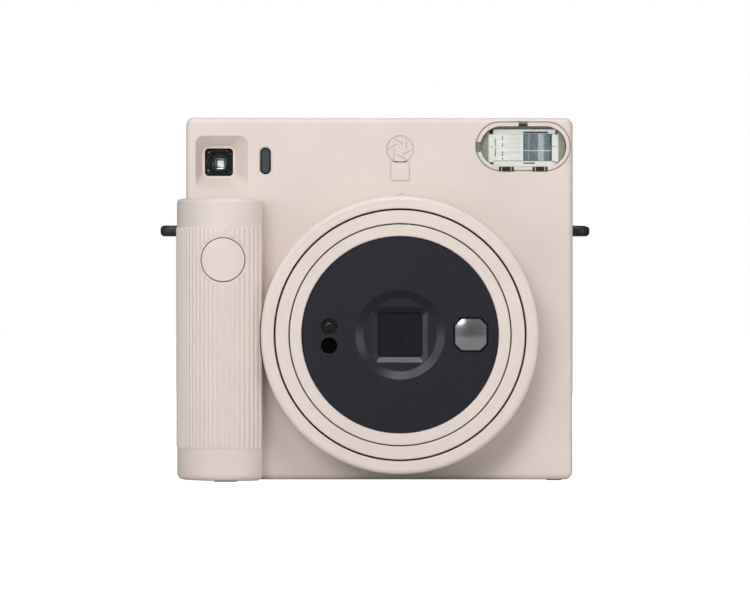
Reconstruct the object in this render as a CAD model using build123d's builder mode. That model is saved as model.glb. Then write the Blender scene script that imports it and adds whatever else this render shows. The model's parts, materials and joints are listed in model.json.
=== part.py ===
from build123d import *
from math import acos, atan2, degrees, hypot, radians, sin, sqrt
import os

# Instant camera for square film, in millimetres. Seen from the front, +X is to the right, the front
# faces -Y and +Z is up. The origin is on the surface it stands on, midway between its two strap lugs
# and midway between the front of its lens ring and the back of its film door.

# ---- Driving dimensions ----

# Body, a box with rounded corners that splits at the seam into a front and a rear casing
body_left = -61.8
body_right = 64.7
body_bottom = 0.4
body_top = 118.9
front_y = -12.5
seam_y = 8.0
rear_y = 27.0
back_y = 28.75
wall = 2.0
corner_r = 2.6
edge_r = 2.0
rear_edge_r = 1.3
foot_h = body_bottom

# Grip, which stands out from the front and from the left side
grip_left = -65.0
grip_right = -36.6
grip_top = 92.3
grip_apex_x = -45.7
grip_front_y = -25.5
grip_nose_r = 11.5
grip_side_r = grip_apex_x - grip_left
grip_top_r = 1.5
grip_bottom_r = 2.0
rib_r = 0.9
rib_pitch = 1.54
rib_sink = 0.62
rib_bottom = 10.3
rib_top = 83.2
rib_last_y = 2.5

# Lens, its rotating ring and its two telescoping barrels
lens_x = 8.12
lens_z = 47.84
ring_front_y = -28.75
ring_r = 45.1
ring_bore_r = 40.9
ring_hole_r = 42.9
ring_sleeve_r = 42.5
retainer_r = 44.9
middle_r = 40.3
front_barrel_r = 35.7
bezel_r = 31.75
bezel_y = -27.9
bezel_back_y = -25.4

# Shutter button in the grip
button_x = -49.3
button_z = 72.15
button_r = 7.06
button_gap = 0.26
button_clear_r = 8.1
button_back_y = -19.0
stem_r = 2.5

# Viewfinder
recess_x = -50.1
recess_z = 104.2
recess_w = 17.1
recess_h = 17.3
recess_r = 2.6
recess_floor_y = -7.5
finder_x = -51.2
finder_z = 104.3
finder_w = 9.3
finder_h = 9.1
finder_r = 1.25
finder_lip = 0.7
finder_back_y = -5.5

# Flash and light meter window
flash_x = 48.5
flash_z = 109.3
flash_w = 31.0
flash_h = 16.1
flash_inner_w = 28.1
flash_inner_h = 13.2
reflector_x = 48.8
reflector_z = 109.1
reflector_w = 23.0
reflector_h = 12.0
meter_x = -35.8
meter_z = 104.56
meter_w = 3.55
meter_h = 8.85
rim_chamfer = 0.45

# Film cartridge and the dark chamber that holds it
pack_w = 77.0
pack_h = 91.0
pack_bottom = 7.0
pack_front_y = 8.2
pack_back_y = 23.6
chamber_front_y = 5.8
chamber_back_y = 24.6
pack_gap = 0.2
film_w = 72.0
image_w = 62.0
exit_slot_w = 74.0
exit_slot_y = 11.4

# Film transport, whose shafts all lie along X
gear_module = 0.5
roller_r = 3.9
roller_z = 105.5
drive_y = 5.5
pinch_y = 13.5
journal_r = 1.5
running_gap = 0.05
roller_plane = -36.5
second_plane = -38.5
first_plane = -40.5
motor_face_x = -42.0
motor_r = 7.5
motor_l = 19.5
roller_teeth = 16
second_small_teeth = 12
second_big_teeth = 36
first_small_teeth = 10
first_big_teeth = 40
pinion_teeth = 10

# Doors
door_left = -42.0
door_right = 55.0
door_bottom = 2.9
door_top = 102.1
door_pin_x = 58.5
door_barrel_r = 2.9
door_pin_y = back_y - door_barrel_r
door_pin_r = 1.0
door_face_y = 27.2
opening_left = -32.4
opening_right = 49.4
opening_bottom = 4.2
opening_top = 100.8
hatch_pin_x = -63.2
hatch_pin_y = 22.0
hatch_barrel_r = 1.6
hatch_pin_r = 0.8
hatch_bottom = 5.3
hatch_top = 61.7
hatch_front_y = 5.3
battery_x = -55.0
battery_y = 13.0
battery_r = 7.8

# Strap lugs
lug_tip = 71.1
lug_z = 82.0
lug_t = 3.6
lug_r = 3.5
lug_hole_r = 1.5

# ---- Values worked out from them ----

body_w = body_right - body_left
body_h = body_top - body_bottom
body_x = (body_left + body_right) / 2
body_z = (body_bottom + body_top) / 2
inner_y = front_y + wall
pack_x = lens_x
pack_z = pack_bottom + pack_h / 2
lens_axis = Axis((lens_x, 0, lens_z), (0, 1, 0))
lens_section = Plane((lens_x, 0, lens_z))


def mesh_distance(teeth_a, teeth_b):
    """Distance between the centres of two meshing gears."""
    return gear_module * (teeth_a + teeth_b) / 2


second_z = roller_z - mesh_distance(roller_teeth, second_small_teeth)
first_z = second_z - mesh_distance(second_big_teeth, first_small_teeth)
pinion_z = first_z - mesh_distance(first_big_teeth, pinion_teeth)


def facing(y):
    """A plane at depth y that faces the front, with the camera's X and Z as its own x and y."""
    return Plane.XZ.offset(-y)


def lens_facing(y):
    """The same, with its centre on the lens axis."""
    return Plane((lens_x, y, lens_z), x_dir=(1, 0, 0), z_dir=(0, -1, 0))


def span(x0, x1, y0, y1):
    """A rectangle in the current sketch from (x0, y0) to (x1, y1)."""
    with Locations(((x0 + x1) / 2, (y0 + y1) / 2)):
        Rectangle(x1 - x0, y1 - y0)


def block(x0, x1, y0, y1, z0, z1, mode=Mode.ADD):
    """A box in the current part from corner to corner."""
    with Locations(((x0 + x1) / 2, (y0 + y1) / 2, (z0 + z1) / 2)):
        Box(x1 - x0, y1 - y0, z1 - z0, mode=mode)


def rod_y(x, z, r, y0, y1, mode=Mode.ADD):
    """A cylinder along Y in the current part, from y0 to y1."""
    with Locations(Location((x, (y0 + y1) / 2, z), (90, 0, 0))):
        Cylinder(r, y1 - y0, mode=mode)


def rod_z(x, y, r, z0, z1, mode=Mode.ADD):
    """A cylinder along Z in the current part, from z0 to z1."""
    with Locations((x, y, (z0 + z1) / 2)):
        Cylinder(r, z1 - z0, mode=mode)


def rod_x(y, z, r, x0, x1, mode=Mode.ADD):
    """A cylinder along X in the current part, from x0 to x1."""
    with Locations(Location(((x0 + x1) / 2, y, z), (0, 90, 0))):
        Cylinder(r, x1 - x0, mode=mode)


# ---- Casings ----

foot_l = 7.0
foot_w_left = 7.4
foot_w_right = 4.7
foot_left_x = -48.6
foot_right_x = 58.7
foot_front_y = -5.5
foot_grip_y = -17.0
foot_rear_y = 20.5
foot_root = 0.3
lug_slot_gap = 0.05
lug_half_w = lug_r


def foot(x, y, width):
    """A low moulded foot under the body."""
    block(x - width / 2, x + width / 2, y - foot_l / 2, y + foot_l / 2, 0, foot_h + foot_root)


def lug_slot(x0, x1):
    """The slot through a side wall, half in each casing, that holds a strap lug."""
    half_t = lug_t / 2 + lug_slot_gap
    half_w = lug_half_w + lug_slot_gap
    block(x0, x1, seam_y - half_w, seam_y + half_w, lug_z - half_t, lug_z + half_t, Mode.SUBTRACT)


index_x = 8.2
index_z = 94.4
index_r = 0.8
index_h = 0.45
mark_x = index_x
mark_z = 108.4
mark_r = 4.6
mark_iris_r = 2.0
mark_blades = 6
mark_frame_z = 101.2
mark_frame_w = 6.6
mark_line = 0.45
mark_depth = 0.25
finder_block = 19.6
finder_floor_r = 2.4

with BuildPart() as front_casing:
    with BuildSketch(facing(seam_y)):
        with Locations((body_x, body_z)):
            RectangleRounded(body_w, body_h, corner_r)
    extrude(amount=seam_y - front_y)
    fillet(front_casing.faces().sort_by(Axis.Y)[0].edges(), edge_r)
    with BuildSketch(facing(seam_y)):
        with Locations((body_x, body_z)):
            RectangleRounded(body_w - 2 * wall, body_h - 2 * wall, corner_r - wall / 2)
    extrude(amount=seam_y - inner_y, mode=Mode.SUBTRACT)
    # Backing block of the viewfinder recess, then the tapered recess and its window hole
    with BuildSketch(facing(inner_y)):
        with Locations((recess_x, recess_z)):
            Rectangle(finder_block, finder_block)
    extrude(amount=inner_y - finder_back_y)
    with BuildSketch(facing(front_y)):
        with Locations((recess_x, recess_z)):
            RectangleRounded(recess_w, recess_h, recess_r)
    with BuildSketch(facing(recess_floor_y)):
        with Locations((finder_x, finder_z)):
            RectangleRounded(finder_w + 2 * finder_lip, finder_h + 2 * finder_lip, finder_floor_r)
    loft(mode=Mode.SUBTRACT)
    with BuildSketch(facing(recess_floor_y)):
        with Locations((finder_x, finder_z)):
            RectangleRounded(finder_w, finder_h, finder_r)
    extrude(amount=recess_floor_y - finder_back_y, mode=Mode.SUBTRACT)
    # Round hole for the lens ring's sleeve
    with BuildSketch(lens_facing(front_y)):
        Circle(ring_hole_r)
    extrude(amount=-wall, mode=Mode.SUBTRACT)
    # The grip is open to the inside of the body
    block(body_left - 1, grip_right - wall, front_y - 1, seam_y + 1,
          body_bottom + wall, grip_top - wall, Mode.SUBTRACT)
    # Flash opening with a bevelled rim
    with BuildSketch(facing(inner_y)):
        with Locations((flash_x, flash_z)):
            SlotOverall(flash_w, flash_h)
    extrude(amount=wall, mode=Mode.SUBTRACT)
    with BuildSketch(facing(front_y)):
        with Locations((flash_x, flash_z)):
            SlotOverall(flash_w + 2 * rim_chamfer, flash_h + 2 * rim_chamfer)
    with BuildSketch(facing(front_y + rim_chamfer)):
        with Locations((flash_x, flash_z)):
            SlotOverall(flash_w, flash_h)
    loft(mode=Mode.SUBTRACT)
    # Light meter window with a bevelled rim
    with BuildSketch(facing(inner_y)):
        with Locations((meter_x, meter_z)):
            SlotOverall(meter_h, meter_w, rotation=90)
    extrude(amount=wall, mode=Mode.SUBTRACT)
    with BuildSketch(facing(front_y)):
        with Locations((meter_x, meter_z)):
            SlotOverall(meter_h + 2 * rim_chamfer, meter_w + 2 * rim_chamfer, rotation=90)
    with BuildSketch(facing(front_y + rim_chamfer)):
        with Locations((meter_x, meter_z)):
            SlotOverall(meter_h, meter_w, rotation=90)
    loft(mode=Mode.SUBTRACT)
    lug_slot(body_right - wall - 1, body_right + 1)
    # Raised index dot above the ring, and a foot
    rod_y(index_x, index_z, index_r, front_y - index_h, front_y + 0.5)
    fillet(front_casing.faces().sort_by(Axis.Y)[0].edges(), index_h - 0.1)
    foot(foot_right_x, foot_front_y, foot_w_right)
    # Sunk marks above the ring: an iris, and a square picture frame
    iris_edge = sqrt((mark_r - mark_line / 2)**2 - mark_iris_r**2)
    with BuildSketch(facing(front_y)):
        with Locations((mark_x, mark_z)):
            Circle(mark_r)
            Circle(mark_r - mark_line, mode=Mode.SUBTRACT)
            with PolarLocations(mark_iris_r, mark_blades):
                Rectangle(mark_line, iris_edge, align=(Align.CENTER, Align.MIN))
        with Locations((mark_x, mark_frame_z)):
            RectangleRounded(mark_frame_w, mark_frame_w, 0.8)
            RectangleRounded(mark_frame_w - 2 * mark_line, mark_frame_w - 2 * mark_line, 0.4,
                             mode=Mode.SUBTRACT)
    extrude(amount=-mark_depth, mode=Mode.SUBTRACT)


def grip_outline(inset):
    """The grip's plan outline moved inwards by inset, closed along the seam."""
    inner_x = grip_right - inset
    nose_r = grip_nose_r - inset
    side_r = grip_side_r - inset
    nose_angle = degrees(acos((inner_x - grip_apex_x) / nose_r))
    nose = CenterArc((grip_apex_x, grip_front_y + grip_nose_r), nose_r, -nose_angle, nose_angle - 90)
    side = CenterArc((grip_apex_x, grip_front_y + grip_side_r), side_r, -90, -90)
    flank = Line(side @ 1, (grip_left + inset, seam_y))
    Polyline(flank @ 1, (inner_x, seam_y), nose @ 0)


nose_turn = degrees(acos((grip_right - grip_apex_x) / grip_nose_r))
nose_corner_r = 1.2

with BuildPart() as grip_body:
    with BuildSketch(Plane.XY.offset(body_bottom)) as grip_plan:
        with BuildLine():
            grip_outline(0)
        make_face()
        nose_y = grip_front_y + grip_nose_r - grip_nose_r * sin(radians(nose_turn))
        fillet(grip_plan.vertices().sort_by_distance((grip_right, nose_y))[0], nose_corner_r)
    extrude(amount=grip_top - body_bottom)
    top_edges = grip_body.faces().sort_by(Axis.Z)[-1].edges()
    fillet(top_edges.filter_by(lambda edge: edge.center().Y < seam_y - 0.1), grip_top_r)
    bottom_edges = grip_body.faces().sort_by(Axis.Z)[0].edges()
    fillet(bottom_edges.filter_by(lambda edge: edge.center().Y < seam_y - 0.1), grip_bottom_r)

# Vertical ribs, evenly spaced along the grip's outline, kept clear of the shutter button
with BuildLine() as rib_path:
    nose_arc = CenterArc((grip_apex_x, grip_front_y + grip_nose_r), grip_nose_r - rib_sink,
                         -nose_turn, nose_turn - 90)
    side_arc = CenterArc((grip_apex_x, grip_front_y + grip_side_r), grip_side_r - rib_sink, -90, -90)
    Line(side_arc @ 1, (grip_left + rib_sink, rib_last_y))
rib_wire = rib_path.wires()[0]
rib_count = int(rib_wire.length / rib_pitch)
rib_start = (rib_wire.length - (rib_count - 1) * rib_pitch) / 2
rib_points = [rib_wire.position_at((rib_start + i * rib_pitch) / rib_wire.length) for i in range(rib_count)]

with BuildPart() as grip_ribs:
    with Locations([(p.X, p.Y, (rib_bottom + rib_top) / 2) for p in rib_points]):
        Cylinder(rib_r, rib_top - rib_bottom - 2 * rib_r)
    with Locations([(p.X, p.Y, z) for p in rib_points for z in (rib_bottom + rib_r, rib_top - rib_r)]):
        Sphere(rib_r)
    rod_y(button_x, button_z, button_clear_r, grip_front_y - 2, -12, Mode.SUBTRACT)

with BuildPart() as grip_cover:
    add(grip_body.part)
    add(grip_ribs.part)
    with BuildSketch(Plane.XY.offset(body_bottom + wall)):
        with BuildLine():
            grip_outline(wall)
        make_face()
    extrude(amount=grip_top - body_bottom - 2 * wall, mode=Mode.SUBTRACT)
    block(body_left, grip_right + 1, front_y, seam_y + 1, -1, grip_top + 1, Mode.SUBTRACT)
    # Clearance round the lens ring, the button's hole, the lug's slot, the battery door's opening
    rod_y(lens_x, lens_z, ring_r + 0.5, grip_front_y - 5, front_y, Mode.SUBTRACT)
    rod_y(button_x, button_z, button_r + button_gap, grip_front_y - 2, -15, Mode.SUBTRACT)
    lug_slot(grip_left - 1, grip_left + wall + 1)
    block(grip_left - 1, body_left - 0.5, hatch_front_y - 0.3, seam_y + 1,
          hatch_bottom - 0.3, hatch_top + 0.3, Mode.SUBTRACT)
    foot(foot_left_x, foot_grip_y, foot_w_left)

screw_places = [(60, 112), (-20, 112), (-59.8, 72), (-43.5, 6)]
screw_slot = 1.3
screw_slot_half = 0.25
screw_slot_y = rear_y - 0.7
screw_head_r = 1.9
screw_head_h = 1.2
screw_shank_r = 1.0
boss_r = 2.6
boss_front_y = 19.0
eyepiece_neck = 12.4
counter_x = -50.0
counter_z = 88.0
counter_window_z = counter_z + 4.2
counter_window_w = 4.6
counter_window_h = 3.6
latch_z = 52.5
latch_slot_h = 11.0
latch_slot_x = -36.8
door_ear_h = 4.0
barrel_gap = 0.4
door_barrel_bottom = 8.0
door_barrel_top = 98.0
column_front_y = 21.0
door_column_x = 53.0
hatch_column_y = 20.0
hatch_column_x = -60.0
counter_post_r = 1.0
counter_post_y = 22.4

with BuildPart() as rear_casing:
    with BuildSketch(facing(rear_y)) as rear_outline:
        with Locations((body_x, body_z)):
            RectangleRounded(body_w, body_h, corner_r)
        span(grip_left, body_left + 10, body_bottom, grip_top)
        corners = rear_outline.vertices()
        fillet(corners.sort_by_distance((grip_left, grip_top))[0], grip_top_r)
        fillet(rear_outline.vertices().sort_by_distance((grip_left, body_bottom))[0], grip_bottom_r)
    extrude(amount=rear_y - seam_y)
    fillet(rear_casing.faces().sort_by(Axis.Y)[-1].edges(), rear_edge_r)
    with BuildSketch(facing(rear_y - wall)):
        with Locations((body_x, body_z)):
            RectangleRounded(body_w - 2 * wall, body_h - 2 * wall, corner_r - wall / 2)
        span(grip_left + wall, body_left + 10, body_bottom + wall, grip_top - wall)
    extrude(amount=rear_y - wall - seam_y, mode=Mode.SUBTRACT)
    # Thick column that carries the film door's hinge, and one for the battery door's hinge
    block(door_column_x, body_right - wall, column_front_y, rear_y - wall,
          body_bottom + wall, opening_top + 3)
    block(grip_left + wall, hatch_column_x, hatch_column_y, rear_y - wall,
          hatch_bottom - 2.8, hatch_top + 2.8)
    # Bosses for the casing screws and the post of the film counter
    for x, z in screw_places:
        rod_y(x, z, boss_r, boss_front_y, rear_y - wall)
    rod_y(counter_x, counter_z, counter_post_r, counter_post_y, rear_y - wall)
    # Opening for the film cartridge, with a notch for the door latch
    block(opening_left, opening_right, rear_y - wall - 1, rear_y + 1, opening_bottom, opening_top,
          Mode.SUBTRACT)
    block(latch_slot_x, opening_left + 1, rear_y - wall - 1, rear_y + 1,
          latch_z - latch_slot_h / 2, latch_z + latch_slot_h / 2, Mode.SUBTRACT)
    # Film door hinge: a trough for the door's barrel between two ears that hold the pin
    rod_z(door_pin_x, door_pin_y, door_barrel_r + barrel_gap, door_barrel_bottom - 0.3,
          door_barrel_top + 0.3, Mode.SUBTRACT)
    rod_z(door_pin_x, door_pin_y, door_pin_r, door_barrel_bottom - door_ear_h,
          door_barrel_top + door_ear_h, Mode.SUBTRACT)
    # Battery door opening, its hinge trough and pin holes
    block(grip_left - 1, body_left - 0.5, seam_y - 1, hatch_pin_y - 1, hatch_bottom - 0.3,
          hatch_top + 0.3, Mode.SUBTRACT)
    block(grip_left - 1, hatch_pin_x, hatch_pin_y - 2, hatch_pin_y + 2, hatch_bottom - 0.3,
          hatch_top + 0.3, Mode.SUBTRACT)
    rod_z(hatch_pin_x, hatch_pin_y, hatch_barrel_r + 0.3, hatch_bottom - 0.3, hatch_top + 0.3,
          Mode.SUBTRACT)
    rod_z(hatch_pin_x, hatch_pin_y, hatch_pin_r, hatch_bottom - 2.3, hatch_top + 2.3, Mode.SUBTRACT)
    # Film exit slot in the top, open to the seam
    block(lens_x - exit_slot_w / 2, lens_x + exit_slot_w / 2, seam_y - 1, exit_slot_y,
          body_top - wall - 1, body_top + 1, Mode.SUBTRACT)
    # Eyepiece hole, counter window and screw holes
    with BuildSketch(facing(rear_y)):
        with Locations((finder_x, finder_z)):
            RectangleRounded(eyepiece_neck, eyepiece_neck, 1.5)
        with Locations((counter_x, counter_window_z)):
            RectangleRounded(counter_window_w, counter_window_h, 0.8)
    extrude(amount=wall, mode=Mode.SUBTRACT)
    for x, z in screw_places:
        rod_y(x, z, screw_head_r, rear_y - screw_head_h, rear_y, Mode.SUBTRACT)
        rod_y(x, z, screw_shank_r, boss_front_y, rear_y, Mode.SUBTRACT)
    lug_slot(body_right - wall - 1, body_right + 1)
    lug_slot(grip_left - 1, grip_left + wall + 1)
    foot(foot_left_x, foot_rear_y, foot_w_left)
    foot(foot_right_x, foot_rear_y, foot_w_right)

with BuildPart() as casing_screws:
    for x, z in screw_places:
        rod_y(x, z, screw_head_r - 0.1, rear_y - screw_head_h, rear_y - 0.2)
        rod_y(x, z, screw_shank_r, boss_front_y + 0.5, rear_y - screw_head_h)
    for x, z in screw_places:
        block(x - screw_slot, x + screw_slot, screw_slot_y, rear_y, z - screw_slot_half, z + screw_slot_half,
              Mode.SUBTRACT)
        block(x - screw_slot_half, x + screw_slot_half, screw_slot_y, rear_y, z - screw_slot, z + screw_slot,
              Mode.SUBTRACT)

lug_round = 1.3
lug_base_t = 1.2
with BuildPart() as strap_lugs:
    for side, wall_x in ((-1, grip_left), (1, body_right)):
        with BuildSketch(Plane.XY.offset(lug_z - lug_t / 2)):
            eye_x = side * (lug_tip - lug_r)
            inner_x = wall_x - side * (wall + lug_base_t)
            with Locations((eye_x, seam_y)):
                Circle(lug_r)
            span(min(eye_x, inner_x), max(eye_x, inner_x), seam_y - lug_r, seam_y + lug_r)
            with Locations((eye_x, seam_y)):
                Circle(lug_hole_r, mode=Mode.SUBTRACT)
        extrude(amount=lug_t)
    arcs = strap_lugs.edges().filter_by(GeomType.CIRCLE)
    fillet(arcs.filter_by(lambda arc: arc.radius > lug_hole_r + 0.5), lug_round)
    # Flanges behind the side walls
    for side, wall_x in ((-1, grip_left), (1, body_right)):
        flange_x = wall_x - side * (wall + lug_base_t / 2)
        block(flange_x - lug_base_t / 2, flange_x + lug_base_t / 2, seam_y - lug_r - 1.5,
              seam_y + lug_r + 1.5, lug_z - lug_t / 2 - 1.5, lug_z + lug_t / 2 + 1.5)

# ---- Film cartridge, chamber and light cone ----

pack_left = pack_x - pack_w / 2
pack_right = pack_x + pack_w / 2
pack_top = pack_bottom + pack_h
window_w = image_w + 2.0
claw_y = 9.2
claw_z = 5.5

with BuildPart() as film_cartridge:
    with BuildSketch(facing(pack_back_y)):
        with Locations((pack_x, pack_z)):
            RectangleRounded(pack_w, pack_h, 1.5)
    extrude(amount=pack_back_y - pack_front_y)
    # Picture window, film exit and the notch where the claw pushes the film
    with BuildSketch(facing(pack_front_y)):
        with Locations((lens_x, lens_z)):
            Rectangle(image_w, image_w)
    extrude(amount=-1.0, mode=Mode.SUBTRACT)
    block(pack_x - film_w / 2, pack_x + film_w / 2, pack_front_y + 1.0, pack_front_y + 1.6,
          pack_top - 8, pack_top + 1, Mode.SUBTRACT)
    block(pack_left - 1, pack_left + 6.5, pack_front_y - 1, pack_front_y + 3.0,
          pack_bottom - 1, pack_bottom + 10.5, Mode.SUBTRACT)
    # Ribs on the back
    with Locations([(pack_x, pack_back_y, z) for z in (22, 52, 82)]):
        Box(60, 0.8, 2.0, mode=Mode.SUBTRACT)

with BuildPart() as film_chamber:
    block(pack_left - pack_gap - wall, pack_right + pack_gap + wall, chamber_front_y, chamber_back_y,
          pack_bottom - pack_gap - wall, pack_top + pack_gap + wall)
    block(pack_left - pack_gap, pack_right + pack_gap, pack_front_y - pack_gap, chamber_back_y + 1,
          pack_bottom - pack_gap, pack_top + pack_gap, Mode.SUBTRACT)
    with BuildSketch(facing(chamber_front_y)):
        with Locations((lens_x, lens_z)):
            Rectangle(window_w, window_w)
    extrude(amount=-wall - 1, mode=Mode.SUBTRACT)
    block(lens_x - exit_slot_w / 2, lens_x + exit_slot_w / 2, pack_front_y - pack_gap, exit_slot_y,
          pack_top, pack_top + wall + 1, Mode.SUBTRACT)
    block(pack_left - wall - 1, pack_left + 1, pack_front_y, pack_front_y + 2.6,
          pack_bottom - 2, pack_bottom + 10, Mode.SUBTRACT)
    block(pack_left - wall - 1, pack_left + 6, pack_front_y, pack_front_y + 2.6,
          pack_bottom - wall - 1, pack_bottom + 1, Mode.SUBTRACT)

cone_front_y = -2.0
cone_t = 2.0
with BuildPart() as light_cone:
    with BuildSketch(lens_facing(cone_front_y)):
        Rectangle(window_w - 8 + 2 * cone_t, window_w - 8 + 2 * cone_t)
    with BuildSketch(lens_facing(chamber_front_y)):
        Rectangle(window_w + 2 * cone_t, window_w + 2 * cone_t)
    loft()
    with BuildSketch(lens_facing(cone_front_y)):
        Rectangle(window_w - 8, window_w - 8)
    with BuildSketch(lens_facing(chamber_front_y)):
        Rectangle(window_w, window_w)
    loft(mode=Mode.SUBTRACT)

# ---- Lens ring and barrels, drawn as half sections: distance from the lens axis, then Y ----

base_plate_y = -4.0
key_in_r = 37.6
key_out_r = 38.6
key_front_y = -24.0
key_w = 6.0
post_r = 2.5
post_ring_r = 40.6
ring_back_y = -13.0
sleeve_back_y = -7.0
sleeve_edge = 0.25
middle_front_y = -28.55
front_barrel_y = -28.35

with BuildPart() as lens_base:
    with BuildSketch(lens_facing(cone_front_y)):
        Circle(retainer_r)
        Circle(34.0, mode=Mode.SUBTRACT)
    extrude(amount=cone_front_y - base_plate_y)
    # Keys that keep the middle barrel from turning
    with BuildSketch(lens_facing(base_plate_y)):
        with PolarLocations((key_in_r + key_out_r) / 2, 3, 30):
            Rectangle(key_out_r - key_in_r, key_w)
    extrude(amount=base_plate_y - key_front_y)
    # Posts that stand on the film chamber
    with BuildSketch(lens_facing(chamber_front_y)):
        with PolarLocations(post_ring_r, 4):
            Circle(post_r)
    extrude(amount=chamber_front_y - cone_front_y)

with BuildPart() as lens_ring:
    with BuildSketch(lens_section) as ring_section:
        span(ring_bore_r, ring_sleeve_r, ring_front_y, sleeve_back_y)
        span(ring_sleeve_r - 1, ring_r, ring_front_y, ring_front_y + 1.75)
        span(ring_r - 1.6, ring_r, ring_front_y, ring_back_y)
        fillet(ring_section.vertices().sort_by_distance((ring_r, ring_front_y))[0], 1.5)
        chamfer(ring_section.vertices().sort_by_distance((ring_bore_r, ring_front_y))[0], sleeve_edge)
    revolve(axis=lens_axis)

with BuildPart() as ring_retainer:
    with BuildSketch(lens_section):
        span(ring_sleeve_r, retainer_r, inner_y + 0.3, inner_y + 2.3)
    revolve(axis=lens_axis)

with BuildPart() as middle_barrel:
    with BuildSketch(lens_section) as middle_section:
        span(middle_r - 1.4, middle_r, middle_front_y, -5.5)
        span(36.1, middle_r, middle_front_y, middle_front_y + 1.5)
        span(36.1, 37.3, middle_front_y, -8.0)
        chamfer(middle_section.vertices().sort_by_distance((middle_r, middle_front_y))[0], sleeve_edge)
        chamfer(middle_section.vertices().sort_by_distance((36.1, middle_front_y))[0], sleeve_edge)
    revolve(axis=lens_axis)

with BuildPart() as front_barrel:
    with BuildSketch(lens_section) as front_section:
        span(front_barrel_r - 1.4, front_barrel_r, front_barrel_y, -8.0)
        span(bezel_r + 0.2, front_barrel_r, front_barrel_y, front_barrel_y + 1.75)
        span(30.5, front_barrel_r, bezel_back_y, bezel_back_y + 1.0)
        chamfer(front_section.vertices().sort_by_distance((front_barrel_r, front_barrel_y))[0], sleeve_edge)
        chamfer(front_section.vertices().sort_by_distance((bezel_r + 0.2, front_barrel_y))[0], sleeve_edge)
    revolve(axis=lens_axis)

# ---- Lens bezel and what it carries ----

cup_outer_r = 14.5
cup_inner_r = 11.9
cup_floor_y = bezel_y + 1.0
square_outer = 17.9
square_inner = 14.5
square_r = 1.2
square_floor_y = cup_floor_y + 0.9
mirror_x = 31.0
mirror_z = 47.9
mirror_w = 10.8
mirror_cut = 2.3
mirror_corner_r = 0.7
mirror_front_y = -28.3
mirror_back_y = -26.75
mirror_dome_r = 36.0
mirror_bevel = 0.4
pocket_gap = 0.32
sensor_x = -14.85
sensor_z = 50.5
sensor_low_z = 44.3
sensor_r = 2.62
sensor_floor_y = bezel_y + 1.6
sensor_rim = 0.15


def mirror_outline(sketch, grow):
    """The selfie mirror's square outline with its corners cut off, grown by a margin all round."""
    with Locations((mirror_x, mirror_z)):
        Rectangle(mirror_w + 2 * grow, mirror_w + 2 * grow)
    chamfer(sketch.vertices(), mirror_cut + grow / 2)
    fillet(sketch.vertices(), mirror_corner_r)


with BuildPart() as lens_bezel:
    with BuildSketch(lens_facing(bezel_back_y)):
        Circle(bezel_r)
    extrude(amount=bezel_back_y - bezel_y)
    chamfer(lens_bezel.faces().sort_by(Axis.Y)[0].edges(), 0.3)
    # Round cup, then the bevelled square frame round the lens barrier
    with BuildSketch(lens_facing(bezel_y)):
        Circle(cup_outer_r)
    with BuildSketch(lens_facing(cup_floor_y)):
        Circle(cup_inner_r)
    loft(mode=Mode.SUBTRACT)
    with BuildSketch(lens_facing(cup_floor_y)):
        RectangleRounded(square_outer, square_outer, square_r + 0.6)
    with BuildSketch(lens_facing(square_floor_y)):
        RectangleRounded(square_inner, square_inner, square_r)
    loft(mode=Mode.SUBTRACT)
    with BuildSketch(lens_facing(bezel_back_y)):
        RectangleRounded(square_inner, square_inner, square_r)
    extrude(amount=bezel_back_y - square_floor_y, mode=Mode.SUBTRACT)
    # Pocket of the selfie mirror and the two sensor holes
    with BuildSketch(facing(mirror_back_y)) as mirror_pocket:
        mirror_outline(mirror_pocket, pocket_gap)
    extrude(amount=mirror_back_y - bezel_y, mode=Mode.SUBTRACT)
    for z in (sensor_z, sensor_low_z):
        rod_y(sensor_x, z, sensor_r, bezel_y - 1, sensor_floor_y, Mode.SUBTRACT)
    hole_rims = lens_bezel.faces().sort_by(Axis.Y)[0].edges().filter_by(GeomType.CIRCLE)
    chamfer(hole_rims.filter_by(lambda rim: abs(rim.radius - sensor_r) < 0.01), sensor_rim)

with BuildPart() as selfie_mirror:
    with BuildSketch(facing(mirror_back_y)) as mirror_face:
        mirror_outline(mirror_face, 0)
    extrude(amount=mirror_back_y - mirror_front_y)
    # Convex front with a bevelled edge
    with Locations((mirror_x, mirror_front_y + mirror_dome_r, mirror_z)):
        Sphere(mirror_dome_r, mode=Mode.INTERSECT)
    chamfer(selfie_mirror.faces().sort_by(Axis.Y)[0].edges(), mirror_bevel)

with BuildPart() as light_sensor_lens:
    step_y = sensor_floor_y
    for step_r, step_h in ((sensor_r - 0.05, 0.4), (1.8, 0.4), (1.24, 0.5)):
        rod_y(sensor_x, sensor_z, step_r, step_y - step_h, step_y)
        step_y -= step_h
    fillet(light_sensor_lens.faces().sort_by(Axis.Y)[0].edges(), 0.4)

frame_front_y = bezel_back_y + 0.05
frame_back_y = -22.6
blade_pocket_y = -24.3
blade_h = 17.2
blade_w = 8.6
blade_travel = 7.6
blade_front_y = -25.2
blade_back_y = -24.45
frame_r = 20.0
frame_hole_r = 8.2
blade_seam = 0.04
blade_edge = 0.05

with BuildPart() as barrier_frame:
    with BuildSketch(lens_facing(frame_back_y)):
        Circle(frame_r)
    extrude(amount=frame_back_y - frame_front_y)
    with BuildSketch(lens_facing(blade_pocket_y)):
        Rectangle(2 * (blade_w + blade_travel + 0.4), blade_h + 0.6)
    extrude(amount=blade_pocket_y - frame_front_y + 0.1, mode=Mode.SUBTRACT)
    with BuildSketch(lens_facing(frame_back_y)):
        Circle(frame_hole_r)
    extrude(amount=frame_back_y - frame_front_y, mode=Mode.SUBTRACT)


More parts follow.
